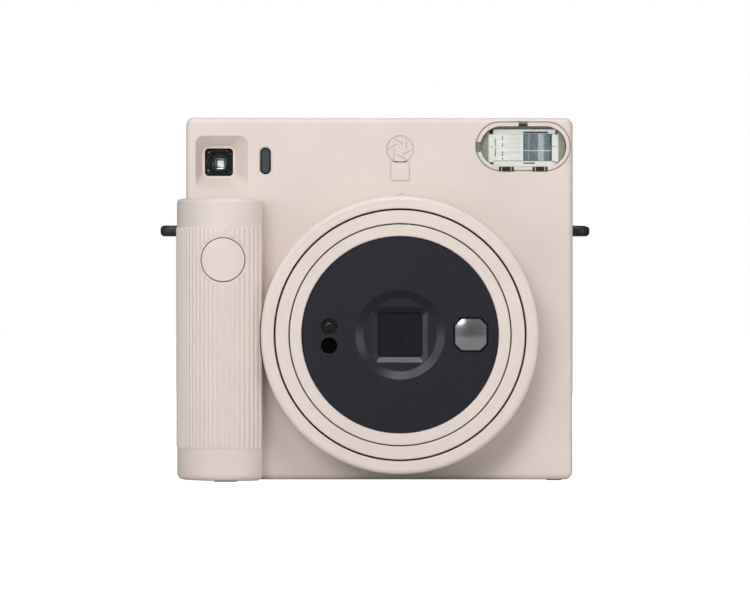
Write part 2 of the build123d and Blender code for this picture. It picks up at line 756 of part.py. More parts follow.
def barrier_blade(side):
    """One half of the lens barrier: side is -1 on the left and 1 on the right."""
    with BuildPart() as blade:
        with BuildSketch(lens_facing(blade_back_y)):
            near = side * blade_seam / 2
            far = side * blade_w
            span(min(near, far), max(near, far), -blade_h / 2, blade_h / 2)
        extrude(amount=blade_back_y - blade_front_y)
        chamfer(blade.faces().sort_by(Axis.Y)[0].edges().filter_by(Axis.Z), blade_edge)
    return blade


barrier_blade_left = barrier_blade(-1)
barrier_blade_right = barrier_blade(1)

lens_elem_r = 8.0
cell_bore_r = lens_elem_r + 0.05
cell_r = 10.0
cell_front_y = -22.5
cell_back_y = -18.2

with BuildPart() as lens_cell:
    with BuildSketch(lens_section):
        span(cell_bore_r, front_barrel_r - 1.45, cell_front_y, cell_front_y + 1.2)
        span(cell_bore_r, cell_r, cell_front_y, cell_back_y)
    revolve(axis=lens_axis)


def sag_point(sag, share):
    """A point of a spherical lens face: its distance from the axis and how far it has curved in."""
    radius = (lens_elem_r**2 + sag**2) / (2 * sag)
    r = share * lens_elem_r
    return r, radius - (radius**2 - r**2) ** 0.5


def lens_profile(front_y, rear_y, front_sag, rear_sag):
    """Half section of a round lens whose spherical faces curve in by the sags at its rim."""
    front_mid = sag_point(front_sag, 0.5)
    rear_mid = sag_point(rear_sag, 0.5)
    front = ThreePointArc((0, front_y), (front_mid[0], front_y + front_mid[1]),
                          (lens_elem_r, front_y + front_sag))
    rim = Line(front @ 1, (lens_elem_r, rear_y - rear_sag))
    rear = ThreePointArc(rim @ 1, (rear_mid[0], rear_y - rear_mid[1]), (0, rear_y))
    Line(rear @ 1, front @ 0)


housing_front_y = -18.1
housing_back_y = -13.6
tube_back_y = -10.0

with BuildPart() as lens_elements:
    for profile in ((-22.3, -19.3, 1.0, 0.3), (-13.4, -10.4, 0.3, 1.0)):
        with BuildSketch(lens_section):
            with BuildLine():
                lens_profile(*profile)
            make_face()
        revolve(axis=lens_axis)

cavity_front_y = -17.0
cavity_back_y = -15.0
cavity_r = 18.0
aperture_r = 2.6
blade_pivot = (-9.0, 4.0)
blade_post_r = 0.8

with BuildPart() as shutter_housing:
    with BuildSketch(lens_section):
        span(aperture_r, frame_r, housing_front_y, housing_back_y)
        span(cell_bore_r, cell_r, housing_back_y, tube_back_y)
    revolve(axis=lens_axis)
    # The blades' cavity, and their two pivot posts in it
    with BuildSketch(lens_facing(cavity_back_y)):
        Circle(cavity_r)
    extrude(amount=cavity_back_y - cavity_front_y, mode=Mode.SUBTRACT)
    with BuildSketch(lens_facing(cavity_back_y)):
        with Locations(blade_pivot, (blade_pivot[0], -blade_pivot[1])):
            Circle(blade_post_r)
    extrude(amount=cavity_back_y - cavity_front_y)

shutter_blade_w = 7.2
shutter_blade_end = 1.4


def shutter_blade(side, front, back):
    """A thin blade from its pivot past the aperture: side is 1 for the upper and -1 for the lower."""
    pivot = (blade_pivot[0], side * blade_pivot[1])
    length = hypot(pivot[0] - shutter_blade_end, pivot[1])
    angle = degrees(atan2(-pivot[1], shutter_blade_end - pivot[0]))
    with BuildPart() as blade:
        with BuildSketch(lens_facing(back)):
            with Locations(((pivot[0] + shutter_blade_end) / 2, pivot[1] / 2)):
                SlotCenterToCenter(length, shutter_blade_w, rotation=angle)
            with Locations(pivot):
                Circle(blade_post_r + running_gap, mode=Mode.SUBTRACT)
        extrude(amount=back - front)
    return blade


shutter_blade_upper = shutter_blade(1, -16.6, -16.3)
shutter_blade_lower = shutter_blade(-1, -15.7, -15.4)

# ---- Viewfinder ----

finder_glass_y = -6.9
tube_outer = 12.2
tube_inner = 10.0
tube_end_y = 24.4

with BuildPart() as finder_window:
    with BuildSketch(facing(finder_back_y)):
        with Locations((finder_x, finder_z)):
            RectangleRounded(finder_w - 0.1, finder_h - 0.1, finder_r)
    extrude(amount=finder_back_y - finder_glass_y)

with BuildPart() as finder_tube:
    with BuildSketch(facing(tube_end_y)):
        with Locations((finder_x, finder_z)):
            RectangleRounded(tube_outer, tube_outer, 1.5)
            RectangleRounded(tube_inner, tube_inner, 1.0, mode=Mode.SUBTRACT)
    extrude(amount=tube_end_y - finder_back_y)

objective_y = 0.5
objective_t = 6.0
objective_r = 7.5
dish_r = 5.5
dish_depth = objective_r - sqrt(objective_r**2 - dish_r**2)
eye_lens_y = 18.0
eye_lens_t = 3.0
eye_lens_r = 12.25
finder_lens_w = tube_inner - 0.1

with BuildPart() as eye_lens:
    with BuildSketch(facing(eye_lens_y + eye_lens_t)):
        with Locations((finder_x, finder_z)):
            RectangleRounded(finder_lens_w, finder_lens_w, 1.0)
    extrude(amount=eye_lens_t)
    # Domed towards the eye
    with Locations((finder_x, eye_lens_y + eye_lens_t - eye_lens_r, finder_z)):
        Sphere(eye_lens_r, mode=Mode.INTERSECT)

with BuildPart() as finder_lenses:
    with BuildSketch(facing(objective_y + objective_t)):
        with Locations((finder_x, finder_z)):
            RectangleRounded(finder_lens_w, finder_lens_w, 1.0)
    extrude(amount=objective_t)
    # The objective is hollow on both faces, so that it makes the view small
    with Locations((finder_x, objective_y + dish_depth - objective_r, finder_z),
                   (finder_x, objective_y + objective_t - dish_depth + objective_r, finder_z)):
        Sphere(objective_r, mode=Mode.SUBTRACT)
    add(eye_lens.part)

eyepiece_w = 15.0
eyepiece_hole = 7.0
with BuildPart() as eyepiece_frame:
    with BuildSketch(facing(back_y)):
        with Locations((finder_x, finder_z)):
            RectangleRounded(eyepiece_w, eyepiece_w, 2.5)
    extrude(amount=back_y - rear_y)
    fillet(eyepiece_frame.faces().sort_by(Axis.Y)[-1].edges(), 0.6)
    with BuildSketch(facing(rear_y)):
        with Locations((finder_x, finder_z)):
            RectangleRounded(eyepiece_neck - 0.1, eyepiece_neck - 0.1, 1.5)
    extrude(amount=rear_y - tube_end_y)
    with BuildSketch(facing(back_y)):
        with Locations((finder_x, finder_z)):
            RectangleRounded(eyepiece_hole, eyepiece_hole, finder_r)
    extrude(amount=back_y - tube_end_y, mode=Mode.SUBTRACT)

with BuildPart() as metering_window:
    with BuildSketch(facing(inner_y)):
        with Locations((meter_x, meter_z)):
            SlotOverall(meter_h - 0.1, meter_w - 0.1, rotation=90)
    extrude(amount=inner_y - front_y - 0.5)

# ---- Flash ----

flash_gap = 0.2
with BuildPart() as flash_bezel:
    with BuildSketch(facing(inner_y)):
        with Locations((flash_x, flash_z)):
            SlotOverall(flash_w - 2 * flash_gap, flash_h - 2 * flash_gap)
            SlotOverall(flash_inner_w, flash_inner_h, mode=Mode.SUBTRACT)
    extrude(amount=wall)
    chamfer(flash_bezel.faces().sort_by(Axis.Y)[0].outer_wire().edges(), 0.35)

with BuildPart() as flash_window:
    with BuildSketch(facing(inner_y)):
        with Locations((flash_x, flash_z)):
            SlotOverall(flash_inner_w - 0.1, flash_inner_h - 0.1)
    extrude(amount=wall - 0.35)

reflector_front_y = inner_y + 0.5
reflector_back_y = -3.5
reflector_t = 0.6
reflector_floor_h = 3.4
flash_tube_r = 1.3
flash_tube_y = -5.6

with BuildPart() as flash_reflector:
    with BuildSketch(facing(reflector_front_y)):
        with Locations((reflector_x, reflector_z)):
            Rectangle(reflector_w + 2 * reflector_t, reflector_h + 2 * reflector_t)
    with BuildSketch(facing(reflector_back_y)):
        with Locations((reflector_x, reflector_z)):
            Rectangle(reflector_w + 2 * reflector_t, reflector_floor_h + 2 * reflector_t)
    loft()
    with BuildSketch(facing(reflector_front_y)):
        with Locations((reflector_x, reflector_z)):
            Rectangle(reflector_w, reflector_h)
    with BuildSketch(facing(reflector_back_y - reflector_t)):
        with Locations((reflector_x, reflector_z)):
            Rectangle(reflector_w, reflector_floor_h)
    loft(mode=Mode.SUBTRACT)

with BuildPart() as flash_tube:
    rod_x(flash_tube_y, reflector_z, flash_tube_r, reflector_x - 11.2, reflector_x + 11.2)

capacitor_x = 55.2
capacitor_y = 4.7
capacitor_r = 6.1
capacitor_low_z = 64.0
capacitor_high_z = 94.0
with BuildPart() as flash_capacitor:
    rod_z(capacitor_x, capacitor_y, capacitor_r, capacitor_low_z, capacitor_high_z)
    fillet(flash_capacitor.edges().filter_by(GeomType.CIRCLE), 0.6)

board_y = 3.0
board_t = 1.2
board_x = 56.9
board_w = 11.0
board_low_z = 8.0
board_high_z = 60.0
component_t = 1.4
with BuildPart() as circuit_board:
    block(board_x - board_w / 2, board_x + board_w / 2, board_y, board_y + board_t, board_low_z, board_high_z)
    # Components, each given by its height on the board and its size
    for z, size in ((16, 7.0), (30, 5.0), (42, 8.0), (53, 4.0)):
        block(board_x - size / 2, board_x + size / 2, board_y - component_t, board_y,
              z - size / 2, z + size / 2)

# ---- Shutter button ----

flange_r = 8.4
flange_front_y = -17.6
flange_back_y = -16.4
stem_end_y = -12.0
bracket_y = -12.4
bracket_t = 1.0
spring_r = 3.4
spring_wire_r = 0.3
spring_turns = 3.5
spring_front_y = flange_back_y + spring_wire_r
spring_back_y = bracket_y - spring_wire_r

with BuildPart() as shutter_button:
    with BuildSketch(facing(button_back_y)):
        with Locations((button_x, button_z)):
            Circle(button_r)
    extrude(amount=button_back_y - grip_front_y + 1)
    add(grip_body.part, mode=Mode.INTERSECT)
    fillet(shutter_button.faces().sort_by(Axis.Y)[0].edges(), 0.3)
    rod_y(button_x, button_z, button_r - 0.6, button_back_y, flange_front_y)
    rod_y(button_x, button_z, flange_r, flange_front_y, flange_back_y)
    rod_y(button_x, button_z, stem_r, flange_back_y, stem_end_y)

with BuildPart() as shutter_button_spring:
    with BuildLine():
        coil = Helix((spring_back_y - spring_front_y) / spring_turns, spring_back_y - spring_front_y,
                     spring_r, center=(button_x, spring_front_y, button_z), direction=(0, 1, 0))
    with BuildSketch(Plane(coil @ 0, z_dir=coil % 0)):
        Circle(spring_wire_r)
    sweep(is_frenet=True)

switch_y = -9.6
switch_w = 6.0
with BuildPart() as button_bracket:
    block(-60.0, grip_right - wall, bracket_y, bracket_y + bracket_t, 64.8, 79.8)
    rod_y(button_x, button_z, stem_r + 0.1, bracket_y - 1, bracket_y + 2, Mode.SUBTRACT)
    # Posts that hold the switch board
    for x in (button_x - 5.0, button_x + 5.0):
        rod_y(x, button_z, 0.9, bracket_y + bracket_t, switch_y + 2.2)

with BuildPart() as shutter_switch:
    block(button_x - switch_w / 2, button_x + switch_w / 2, switch_y, switch_y + 2.2,
          button_z - switch_w / 2, button_z + switch_w / 2)
    rod_y(button_x, button_z, 1.2, switch_y - 1.0, switch_y)
    block(button_x - 7, button_x + 7, switch_y + 2.2, switch_y + 3.2, button_z - 5, button_z + 5)

# ---- Film transport ----


def gear_teeth(teeth, phase):
    """Sketch of a spur gear: a root disc and straight-sided teeth, one of them at phase degrees."""
    pitch_r = gear_module * teeth / 2
    root_r = pitch_r - 1.2 * gear_module
    tip_r = pitch_r + 0.8 * gear_module
    root_half = 0.85 * gear_module
    tip_half = 0.32 * gear_module
    Circle(root_r)
    with PolarLocations(0, teeth, phase):
        Polygon((root_r - 0.2, -root_half), (tip_r, -tip_half), (tip_r, tip_half), (root_r - 0.2, root_half),
                align=None)


def gap_phase(teeth):
    """Phase that turns a gap between two teeth towards +Z, 90 degrees from +Y."""
    return 90 + 180 / teeth


roller_left = lens_x - 38.6
roller_right = lens_x + 38.6
gear_t = 2.0
thin_gear_t = 1.5
plate_t = 1.2
frame_left = -32.6
frame_right = 47.6


def roller(y, phase):
    """A film roller with its journals and the gear on its left end."""
    with BuildPart() as body:
        rod_x(y, roller_z, roller_r, roller_left, roller_right)
        rod_x(y, roller_z, journal_r, roller_plane, roller_left)
        rod_x(y, roller_z, journal_r, roller_right, frame_right + plate_t + 0.8)
        with BuildSketch(Plane.YZ.offset(roller_plane)):
            with Locations(Location((y, roller_z))):
                gear_teeth(roller_teeth, phase)
        extrude(amount=gear_t)
    return body


drive_roller = roller(drive_y, 0)
pinch_roller = roller(pinch_y, 180 + 180 / roller_teeth)

with BuildPart() as roller_frame:
    for x in (frame_left, frame_right):
        block(x, x + plate_t, 1.5, 18.0, pack_top + pack_gap + wall, 111.0)
    block(frame_left, frame_right + plate_t, 18.0, 19.0, pack_top + pack_gap + wall + 0.5, 109.0)
    for y in (drive_y, pinch_y):
        rod_x(y, roller_z, journal_r + running_gap, frame_left - 1, frame_right + plate_t + 1, Mode.SUBTRACT)

gear_bore_r = 0.85
gear_pin_r = 0.8
with BuildPart() as second_gear:
    with BuildSketch(Plane.YZ.offset(roller_plane)):
        with Locations(Location((drive_y, second_z))):
            gear_teeth(second_small_teeth, gap_phase(second_small_teeth))
            Circle(gear_bore_r, mode=Mode.SUBTRACT)
    extrude(amount=gear_t)
    with BuildSketch(Plane.YZ.offset(second_plane)):
        with Locations(Location((drive_y, second_z))):
            gear_teeth(second_big_teeth, 0)
            Circle(gear_bore_r, mode=Mode.SUBTRACT)
    extrude(amount=thin_gear_t)
    with BuildSketch(Plane.YZ.offset(second_plane + thin_gear_t)):
        with Locations(Location((drive_y, second_z))):
            Circle(1.6)
            Circle(gear_bore_r, mode=Mode.SUBTRACT)
    extrude(amount=roller_plane - second_plane - thin_gear_t)

with BuildPart() as first_gear:
    with BuildSketch(Plane.YZ.offset(second_plane)):
        with Locations(Location((drive_y, first_z))):
            gear_teeth(first_small_teeth, gap_phase(first_small_teeth))
            Circle(gear_bore_r, mode=Mode.SUBTRACT)
    extrude(amount=thin_gear_t)
    with BuildSketch(Plane.YZ.offset(first_plane)):
        with Locations(Location((drive_y, first_z))):
            gear_teeth(first_big_teeth, 0)
            Circle(gear_bore_r, mode=Mode.SUBTRACT)
    extrude(amount=thin_gear_t)
    with BuildSketch(Plane.YZ.offset(first_plane + thin_gear_t)):
        with Locations(Location((drive_y, first_z))):
            Circle(1.4)
            Circle(gear_bore_r, mode=Mode.SUBTRACT)
    extrude(amount=second_plane - first_plane - thin_gear_t)

with BuildPart() as motor_pinion:
    with BuildSketch(Plane.YZ.offset(first_plane)):
        with Locations(Location((drive_y, pinion_z))):
            gear_teeth(pinion_teeth, gap_phase(pinion_teeth))
    extrude(amount=thin_gear_t)
    rod_x(drive_y, pinion_z, 1.0, motor_face_x + 0.05, first_plane)

with BuildPart() as motor:
    rod_x(drive_y, pinion_z, motor_r, motor_face_x - motor_l, motor_face_x)
    rod_x(drive_y, pinion_z, 3.0, motor_face_x - motor_l - 1.0, motor_face_x - motor_l)

with BuildPart() as gear_plate:
    block(motor_face_x, motor_face_x + 1.0, drive_y - 6.5, drive_y + 6.5, pinion_z - 7.0, second_z + 4.0)
    rod_x(drive_y, pinion_z, 2.0, motor_face_x - 1, motor_face_x + 2, Mode.SUBTRACT)
    rod_x(drive_y, second_z, gear_pin_r, motor_face_x + 1.0, roller_plane + gear_t + 0.2)
    rod_x(drive_y, first_z, gear_pin_r, motor_face_x + 1.0, second_plane + thin_gear_t + 0.2)

claw_left = -35.2
claw_t = 2.0
with BuildPart() as film_claw:
    block(claw_left, claw_left + claw_t, 7.5, 12.5, claw_z, 78.0)
    block(claw_left + claw_t, pack_left + 5.5, claw_y, claw_y + 1.0, claw_z, claw_z + 1.5)

counter_r = 6.4
dial_front_y = 23.2
dial_back_y = 24.4
with BuildPart() as counter_dial:
    rod_y(counter_x, counter_z, counter_r, dial_front_y, dial_back_y)
    rod_y(counter_x, counter_z, counter_post_r + running_gap, dial_front_y - 1, dial_back_y + 1,
          Mode.SUBTRACT)

with BuildPart() as counter_window:
    with BuildSketch(facing(rear_y - 0.2)):
        with Locations((counter_x, counter_window_z)):
            RectangleRounded(counter_window_w - 0.1, counter_window_h - 0.1, 0.8)
    extrude(amount=wall - 0.4)

# ---- Batteries and their door ----

battery_l = 26.4
nub_r = 3.0
nub_h = 0.6
battery_low_z = 6.0
battery_step = battery_l + nub_h + 0.2
battery_high_z = battery_low_z + 2 * battery_step - 0.2
with BuildPart() as batteries:
    for z in (battery_low_z, battery_low_z + battery_step):
        rod_z(battery_x, battery_y, battery_r, z, z + battery_l)
        rod_z(battery_x, battery_y, nub_r, z + battery_l, z + battery_l + nub_h)

holder_r = 9.2
holder_lip = 2.5
holder_low_z = body_bottom + wall + 0.1
holder_high_z = 66.0
with BuildPart() as battery_holder:
    rod_z(battery_x, battery_y, holder_r, holder_low_z, holder_high_z)
    rod_z(battery_x, battery_y, battery_r + 0.15, battery_low_z - 0.6, battery_high_z + 0.6, Mode.SUBTRACT)
    # Open towards the battery door
    block(battery_x - 12, battery_x - holder_lip, battery_y - 12, battery_y + 12,
          holder_low_z - 1, holder_high_z + 1, Mode.SUBTRACT)

hatch_t = 1.6
with BuildPart() as battery_door:
    block(grip_left, grip_left + hatch_t, hatch_front_y, hatch_pin_y - 0.2, hatch_bottom, hatch_top)
    rod_z(hatch_pin_x, hatch_pin_y, hatch_barrel_r, hatch_bottom, hatch_top)
    rod_z(hatch_pin_x, hatch_pin_y, hatch_pin_r + running_gap, hatch_bottom - 1, hatch_top + 1, Mode.SUBTRACT)
    # Thumb groove
    with Locations([(grip_left, hatch_front_y + 2.6, z) for z in (29.5, 31.5, 33.5, 35.5, 37.5)]):
        Box(0.8, 3.6, 0.9, mode=Mode.SUBTRACT)

with BuildPart() as hinge_pins:
    rod_z(hatch_pin_x, hatch_pin_y, hatch_pin_r, hatch_bottom - 2.3, hatch_top + 2.3)
    rod_z(door_pin_x, door_pin_y, door_pin_r, door_barrel_bottom - door_ear_h, door_barrel_top + door_ear_h)

# ---- Film door ----

film_window_x = 30.0
film_window_z = 52.5
film_window_w = 8.0
film_window_h = 20.0
tray_gap = 0.5
tray_y = 25.4
latch_w = 5.0
latch_h = 12.0
latch_x = -36.4
latch_travel = 2.5
latch_face_y = back_y - 0.1
latch_floor_y = 27.9

with BuildPart() as film_door:
    with BuildSketch(facing(back_y)):
        with Locations(((door_left + door_right) / 2, (door_bottom + door_top) / 2)):
            RectangleRounded(door_right - door_left, door_top - door_bottom, 3.0)
    extrude(amount=back_y - door_face_y)
    fillet(film_door.faces().sort_by(Axis.Y)[-1].edges(), 0.7)
    block(door_right - 4, door_pin_x, back_y - 1.5, back_y, door_barrel_bottom, door_barrel_top)
    rod_z(door_pin_x, door_pin_y, door_barrel_r, door_barrel_bottom, door_barrel_top)
    # Tray that presses the cartridge into its chamber
    block(opening_left + tray_gap, opening_right - tray_gap, tray_y, door_face_y,
          opening_bottom + tray_gap, opening_top - tray_gap)
    rod_z(door_pin_x, door_pin_y, door_pin_r + running_gap, door_barrel_bottom - 1, door_barrel_top + 1,
          Mode.SUBTRACT)
    # Cartridge window, with a step that holds its pane
    block(film_window_x - film_window_w / 2, film_window_x + film_window_w / 2, tray_y - 1, back_y + 1,
          film_window_z - film_window_h / 2, film_window_z + film_window_h / 2, Mode.SUBTRACT)
    # Pocket and slot of the latch
    block(latch_x - 3.2, latch_x + latch_w + 0.4, latch_floor_y, back_y + 1,
          latch_z - latch_h / 2 - 0.3, latch_z + latch_h / 2 + 0.3, Mode.SUBTRACT)
    block(latch_x - 0.3, latch_x + 0.8 + latch_travel + 0.3, door_face_y - 1, latch_floor_y + 0.1,
          latch_z - 4.3, latch_z + 4.3, Mode.SUBTRACT)

with BuildPart() as film_door_latch:
    block(latch_x - 2.6, latch_x - 2.6 + latch_w, latch_floor_y + 0.05, latch_face_y,
          latch_z - latch_h / 2, latch_z + latch_h / 2)
    block(latch_x, latch_x + 0.8, 24.2, latch_floor_y + 0.05, latch_z - 4, latch_z + 4)
    block(latch_x - 1.8, latch_x + 0.8, 24.2, 24.9, latch_z - 4, latch_z + 4)
    with Locations([(latch_x - 0.1 + dx, latch_face_y, latch_z) for dx in (-1.4, 0, 1.4)]):
        Box(0.5, 0.6, latch_h - 3, mode=Mode.SUBTRACT)

with BuildPart() as film_window:
    block(film_window_x - film_window_w / 2 + 0.05, film_window_x + film_window_w / 2 - 0.05,
          tray_y + 0.6, back_y - 0.5, film_window_z - film_window_h / 2 + 0.05,
          film_window_z + film_window_h / 2 - 0.05)

spring_rest_y = pack_back_y + 0.15
spring_half = 18.0
spring_strip = 0.3
with BuildPart() as pressure_springs:
    for x in (-8.0, 18.0):
        with BuildSketch(Plane.YZ.offset(x)):
            with BuildLine():
                outer = ThreePointArc((tray_y, pack_z - spring_half), (spring_rest_y, pack_z),
                                      (tray_y, pack_z + spring_half))
                tip = Line(outer @ 1, (tray_y, pack_z + spring_half - 1.6))
                inner = ThreePointArc(tip @ 1, (spring_rest_y + spring_strip, pack_z),
                                      (tray_y, pack_z - spring_half + 1.6))
                Line(inner @ 1, outer @ 0)
            make_face()
        extrude(amount=6.0)

# ---- Write one file for each sub-part ----

sub_parts = {
    "front_casing": front_casing,
    "grip_cover": grip_cover,
    "rear_casing": rear_casing,
    "casing_screws": casing_screws,
    "strap_lugs": strap_lugs,
    "film_cartridge": film_cartridge,
    "film_chamber": film_chamber,
    "light_cone": light_cone,
    "lens_base": lens_base,
    "lens_ring": lens_ring,
    "ring_retainer": ring_retainer,
    "middle_barrel": middle_barrel,
    "front_barrel": front_barrel,
    "lens_bezel": lens_bezel,
    "selfie_mirror": selfie_mirror,
    "light_sensor_lens": light_sensor_lens,
    "barrier_frame": barrier_frame,
    "barrier_blade_left": barrier_blade_left,
    "barrier_blade_right": barrier_blade_right,
    "lens_cell": lens_cell,
    "lens_elements": lens_elements,
    "shutter_housing": shutter_housing,
    "shutter_blade_upper": shutter_blade_upper,
    "shutter_blade_lower": shutter_blade_lower,
    "finder_window": finder_window,
    "finder_tube": finder_tube,
    "finder_lenses": finder_lenses,
    "eyepiece_frame": eyepiece_frame,
    "metering_window": metering_window,
    "flash_bezel": flash_bezel,
    "flash_window": flash_window,
    "flash_reflector": flash_reflector,
    "flash_tube": flash_tube,
    "flash_capacitor": flash_capacitor,
    "circuit_board": circuit_board,
    "shutter_button": shutter_button,
    "shutter_button_spring": shutter_button_spring,
    "button_bracket": button_bracket,
    "shutter_switch": shutter_switch,
    "drive_roller": drive_roller,
    "pinch_roller": pinch_roller,
    "roller_frame": roller_frame,
    "second_gear": second_gear,
    "first_gear": first_gear,
    "motor_pinion": motor_pinion,
    "motor": motor,
    "gear_plate": gear_plate,
    "film_claw": film_claw,
    "counter_dial": counter_dial,
    "counter_window": counter_window,
    "batteries": batteries,
    "battery_holder": battery_holder,
    "battery_door": battery_door,
    "hinge_pins": hinge_pins,
    "film_door": film_door,
    "film_door_latch": film_door_latch,
    "film_window": film_window,
    "pressure_springs": pressure_springs,
}

os.makedirs("parts", exist_ok=True)
for label, piece in sub_parts.items():
    piece.part.label = label
    export_step(piece.part, f"parts/{label}.step")
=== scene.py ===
import json
import math

import bmesh
import bpy
from mathutils import Matrix, Vector


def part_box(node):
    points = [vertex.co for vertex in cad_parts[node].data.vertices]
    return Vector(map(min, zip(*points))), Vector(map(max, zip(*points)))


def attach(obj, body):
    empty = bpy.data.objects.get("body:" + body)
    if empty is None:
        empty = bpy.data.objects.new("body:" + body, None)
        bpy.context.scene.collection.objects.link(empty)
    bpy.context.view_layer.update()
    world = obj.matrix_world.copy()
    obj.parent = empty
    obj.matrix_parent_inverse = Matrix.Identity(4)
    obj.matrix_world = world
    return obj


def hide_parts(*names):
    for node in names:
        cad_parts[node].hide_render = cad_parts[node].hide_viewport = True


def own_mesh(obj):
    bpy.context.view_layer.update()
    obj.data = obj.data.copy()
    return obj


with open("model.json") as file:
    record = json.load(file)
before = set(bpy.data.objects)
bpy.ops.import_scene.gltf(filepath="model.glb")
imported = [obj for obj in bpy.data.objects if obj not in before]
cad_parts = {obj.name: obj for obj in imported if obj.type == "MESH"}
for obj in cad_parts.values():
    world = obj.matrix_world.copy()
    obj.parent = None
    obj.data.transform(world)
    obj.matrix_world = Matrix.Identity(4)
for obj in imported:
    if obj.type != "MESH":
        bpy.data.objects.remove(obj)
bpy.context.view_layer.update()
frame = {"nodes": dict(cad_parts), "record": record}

MM = 0.001
scene = bpy.context.scene


# ---- Places and sizes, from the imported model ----


def box_mid(node):
    """The middle of a node's box at rest."""
    low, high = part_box(node)
    return (low + high) / 2


BODY = "camera_body"
BODY_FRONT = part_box("flash_bezel")[0].y
REFLECTOR_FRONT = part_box("flash_reflector")[0].y
CASING_BOX_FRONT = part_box("front_casing")[0].y
FINDER_MID = box_mid("finder_window")
FLASH_WINDOW_MID = box_mid("flash_window")
METER_MID = box_mid("metering_window")
SENSOR_MID = box_mid("light_sensor_lens")
SPRING_MID = box_mid("shutter_button_spring")


# ---- Materials ----

NOISE_LOW = 0.3
NOISE_HIGH = 0.7


def linear(red, green, blue):
    """A colour given in 0 to 255 screen values, as linear light."""
    def channel(value):
        value /= 255
        return value / 12.92 if value <= 0.04045 else ((value + 0.055) / 1.055) ** 2.4

    return channel(red), channel(green), channel(blue), 1.0


class Tree:
    """A node tree, with short calls to add and join nodes."""

    def __init__(self, tree):
        self.tree = tree

    def add(self, kind, **values):
        node = self.tree.nodes.new(kind)
        for key, value in values.items():
            setattr(node, key, value)
        return node

    def join(self, source, target):
        self.tree.links.new(source, target)

    def seen_directly(self, path):
        """One for what the camera sees straight or through glass, and zero for everything else."""
        direct = self.add("ShaderNodeMath", operation="MAXIMUM")
        self.join(path.outputs["Is Camera Ray"], direct.inputs[0])
        self.join(path.outputs["Is Transmission Ray"], direct.inputs[1])
        return direct.outputs["Value"]


class Nodes(Tree):
    """A material's node tree, around its main shader."""

    def __init__(self, name):
        self.material = bpy.data.materials.new(name)
        self.material.use_nodes = True
        super().__init__(self.material.node_tree)
        self.shader = self.tree.nodes["Principled BSDF"]
        self.coords = self.add("ShaderNodeTexCoord").outputs["Object"]

    def set(self, **values):
        for key, value in values.items():
            self.shader.inputs[key.replace("_", " ")].default_value = value

    def noise(self, scale, detail=3.0, stretch=None):
        """Noise with features about 1 / scale metres wide, stretched along the axes if asked."""
        node = self.add("ShaderNodeTexNoise")
        node.inputs["Scale"].default_value = scale
        node.inputs["Detail"].default_value = detail
        source = self.coords
        if stretch:
            mapping = self.add("ShaderNodeMapping")
            mapping.inputs["Scale"].default_value = stretch
            self.join(source, mapping.inputs["Vector"])
            source = mapping.outputs["Vector"]
        self.join(source, node.inputs["Vector"])
        return node.outputs["Fac"]

    def ramp(self, source, stops):
        """A colour ramp over source: stops are (position, colour)."""
        node = self.add("ShaderNodeValToRGB")
        elements = node.color_ramp.elements
        while len(elements) > 1:
            elements.remove(elements[-1])
        elements[0].position, elements[0].color = stops[0]
        for position, colour in stops[1:]:
            elements.new(position).color = colour
        self.join(source, node.inputs["Fac"])
        return node.outputs["Color"]

    def span(self, source, low, high):
        """The middle of a noise's range, spread over low to high."""
        node = self.add("ShaderNodeMapRange")
        node.inputs["From Min"].default_value = NOISE_LOW
        node.inputs["From Max"].default_value = NOISE_HIGH
        node.inputs["To Min"].default_value = low
        node.inputs["To Max"].default_value = high
        self.join(source, node.inputs["Value"])
        return node.outputs["Result"]

    def bump(self, source, depth, strength=1.0):
        node = self.add("ShaderNodeBump")
        node.inputs["Distance"].default_value = depth
        node.inputs["Strength"].default_value = strength
        self.join(source, node.inputs["Height"])
        self.join(node.outputs["Normal"], self.shader.inputs["Normal"])


def shade(colour, factor):
    return tuple(min(1.0, value * factor) for value in colour[:3]) + (1.0,)


def moulded(name, colour, rough=0.45, variation=0.03, grain=3200, grain_depth=0.000003, coat=0.0,
            specular=0.5):
    """Injection-moulded plastic: faint cloudy colour, spark-eroded grain, uneven gloss."""
    nodes = Nodes(name)
    cloud = nodes.noise(55, 4)
    tone = nodes.ramp(cloud, [(0.3, shade(colour, 1 - variation)), (0.7, shade(colour, 1 + variation))])
    nodes.join(tone, nodes.shader.inputs["Base Color"])
    speckle = nodes.noise(grain, 2)
    nodes.join(nodes.span(speckle, rough - 0.05, rough + 0.06), nodes.shader.inputs["Roughness"])
    nodes.bump(speckle, grain_depth, 0.5)
    nodes.set(Coat_Weight=coat, Coat_Roughness=0.2, Specular_IOR_Level=specular)
    return nodes.material


def metal(name, colour, rough=0.3, brush=(1, 1, 40), depth=0.000004):
    """Sheet or turned metal with fine brushing along one axis."""
    nodes = Nodes(name)
    streaks = nodes.noise(260, 3, stretch=brush)
    tone = nodes.ramp(streaks, [(0.3, shade(colour, 0.85)), (0.7, shade(colour, 1.1))])
    nodes.join(tone, nodes.shader.inputs["Base Color"])
    nodes.join(nodes.span(streaks, rough - 0.08, rough + 0.1), nodes.shader.inputs["Roughness"])
    nodes.bump(streaks, depth, 0.4)
    nodes.set(Metallic=1.0)
    return nodes.material


def pane(name, colour, alpha, rough=0.03):
    """Thin clear plastic: mostly see-through, with a hard gloss and a faint moulding waviness."""
    nodes = Nodes(name)
    flow = nodes.noise(120, 1)
    tone = nodes.ramp(flow, [(0.3, shade(colour, 0.97)), (0.7, shade(colour, 1.03))])
    nodes.join(tone, nodes.shader.inputs["Base Color"])
    nodes.join(nodes.span(flow, rough, rough + 0.03), nodes.shader.inputs["Roughness"])
    nodes.bump(flow, 0.00001, 0.2)
    nodes.set(Alpha=alpha, IOR=1.49, Specular_IOR_Level=0.6)
    return nodes.material


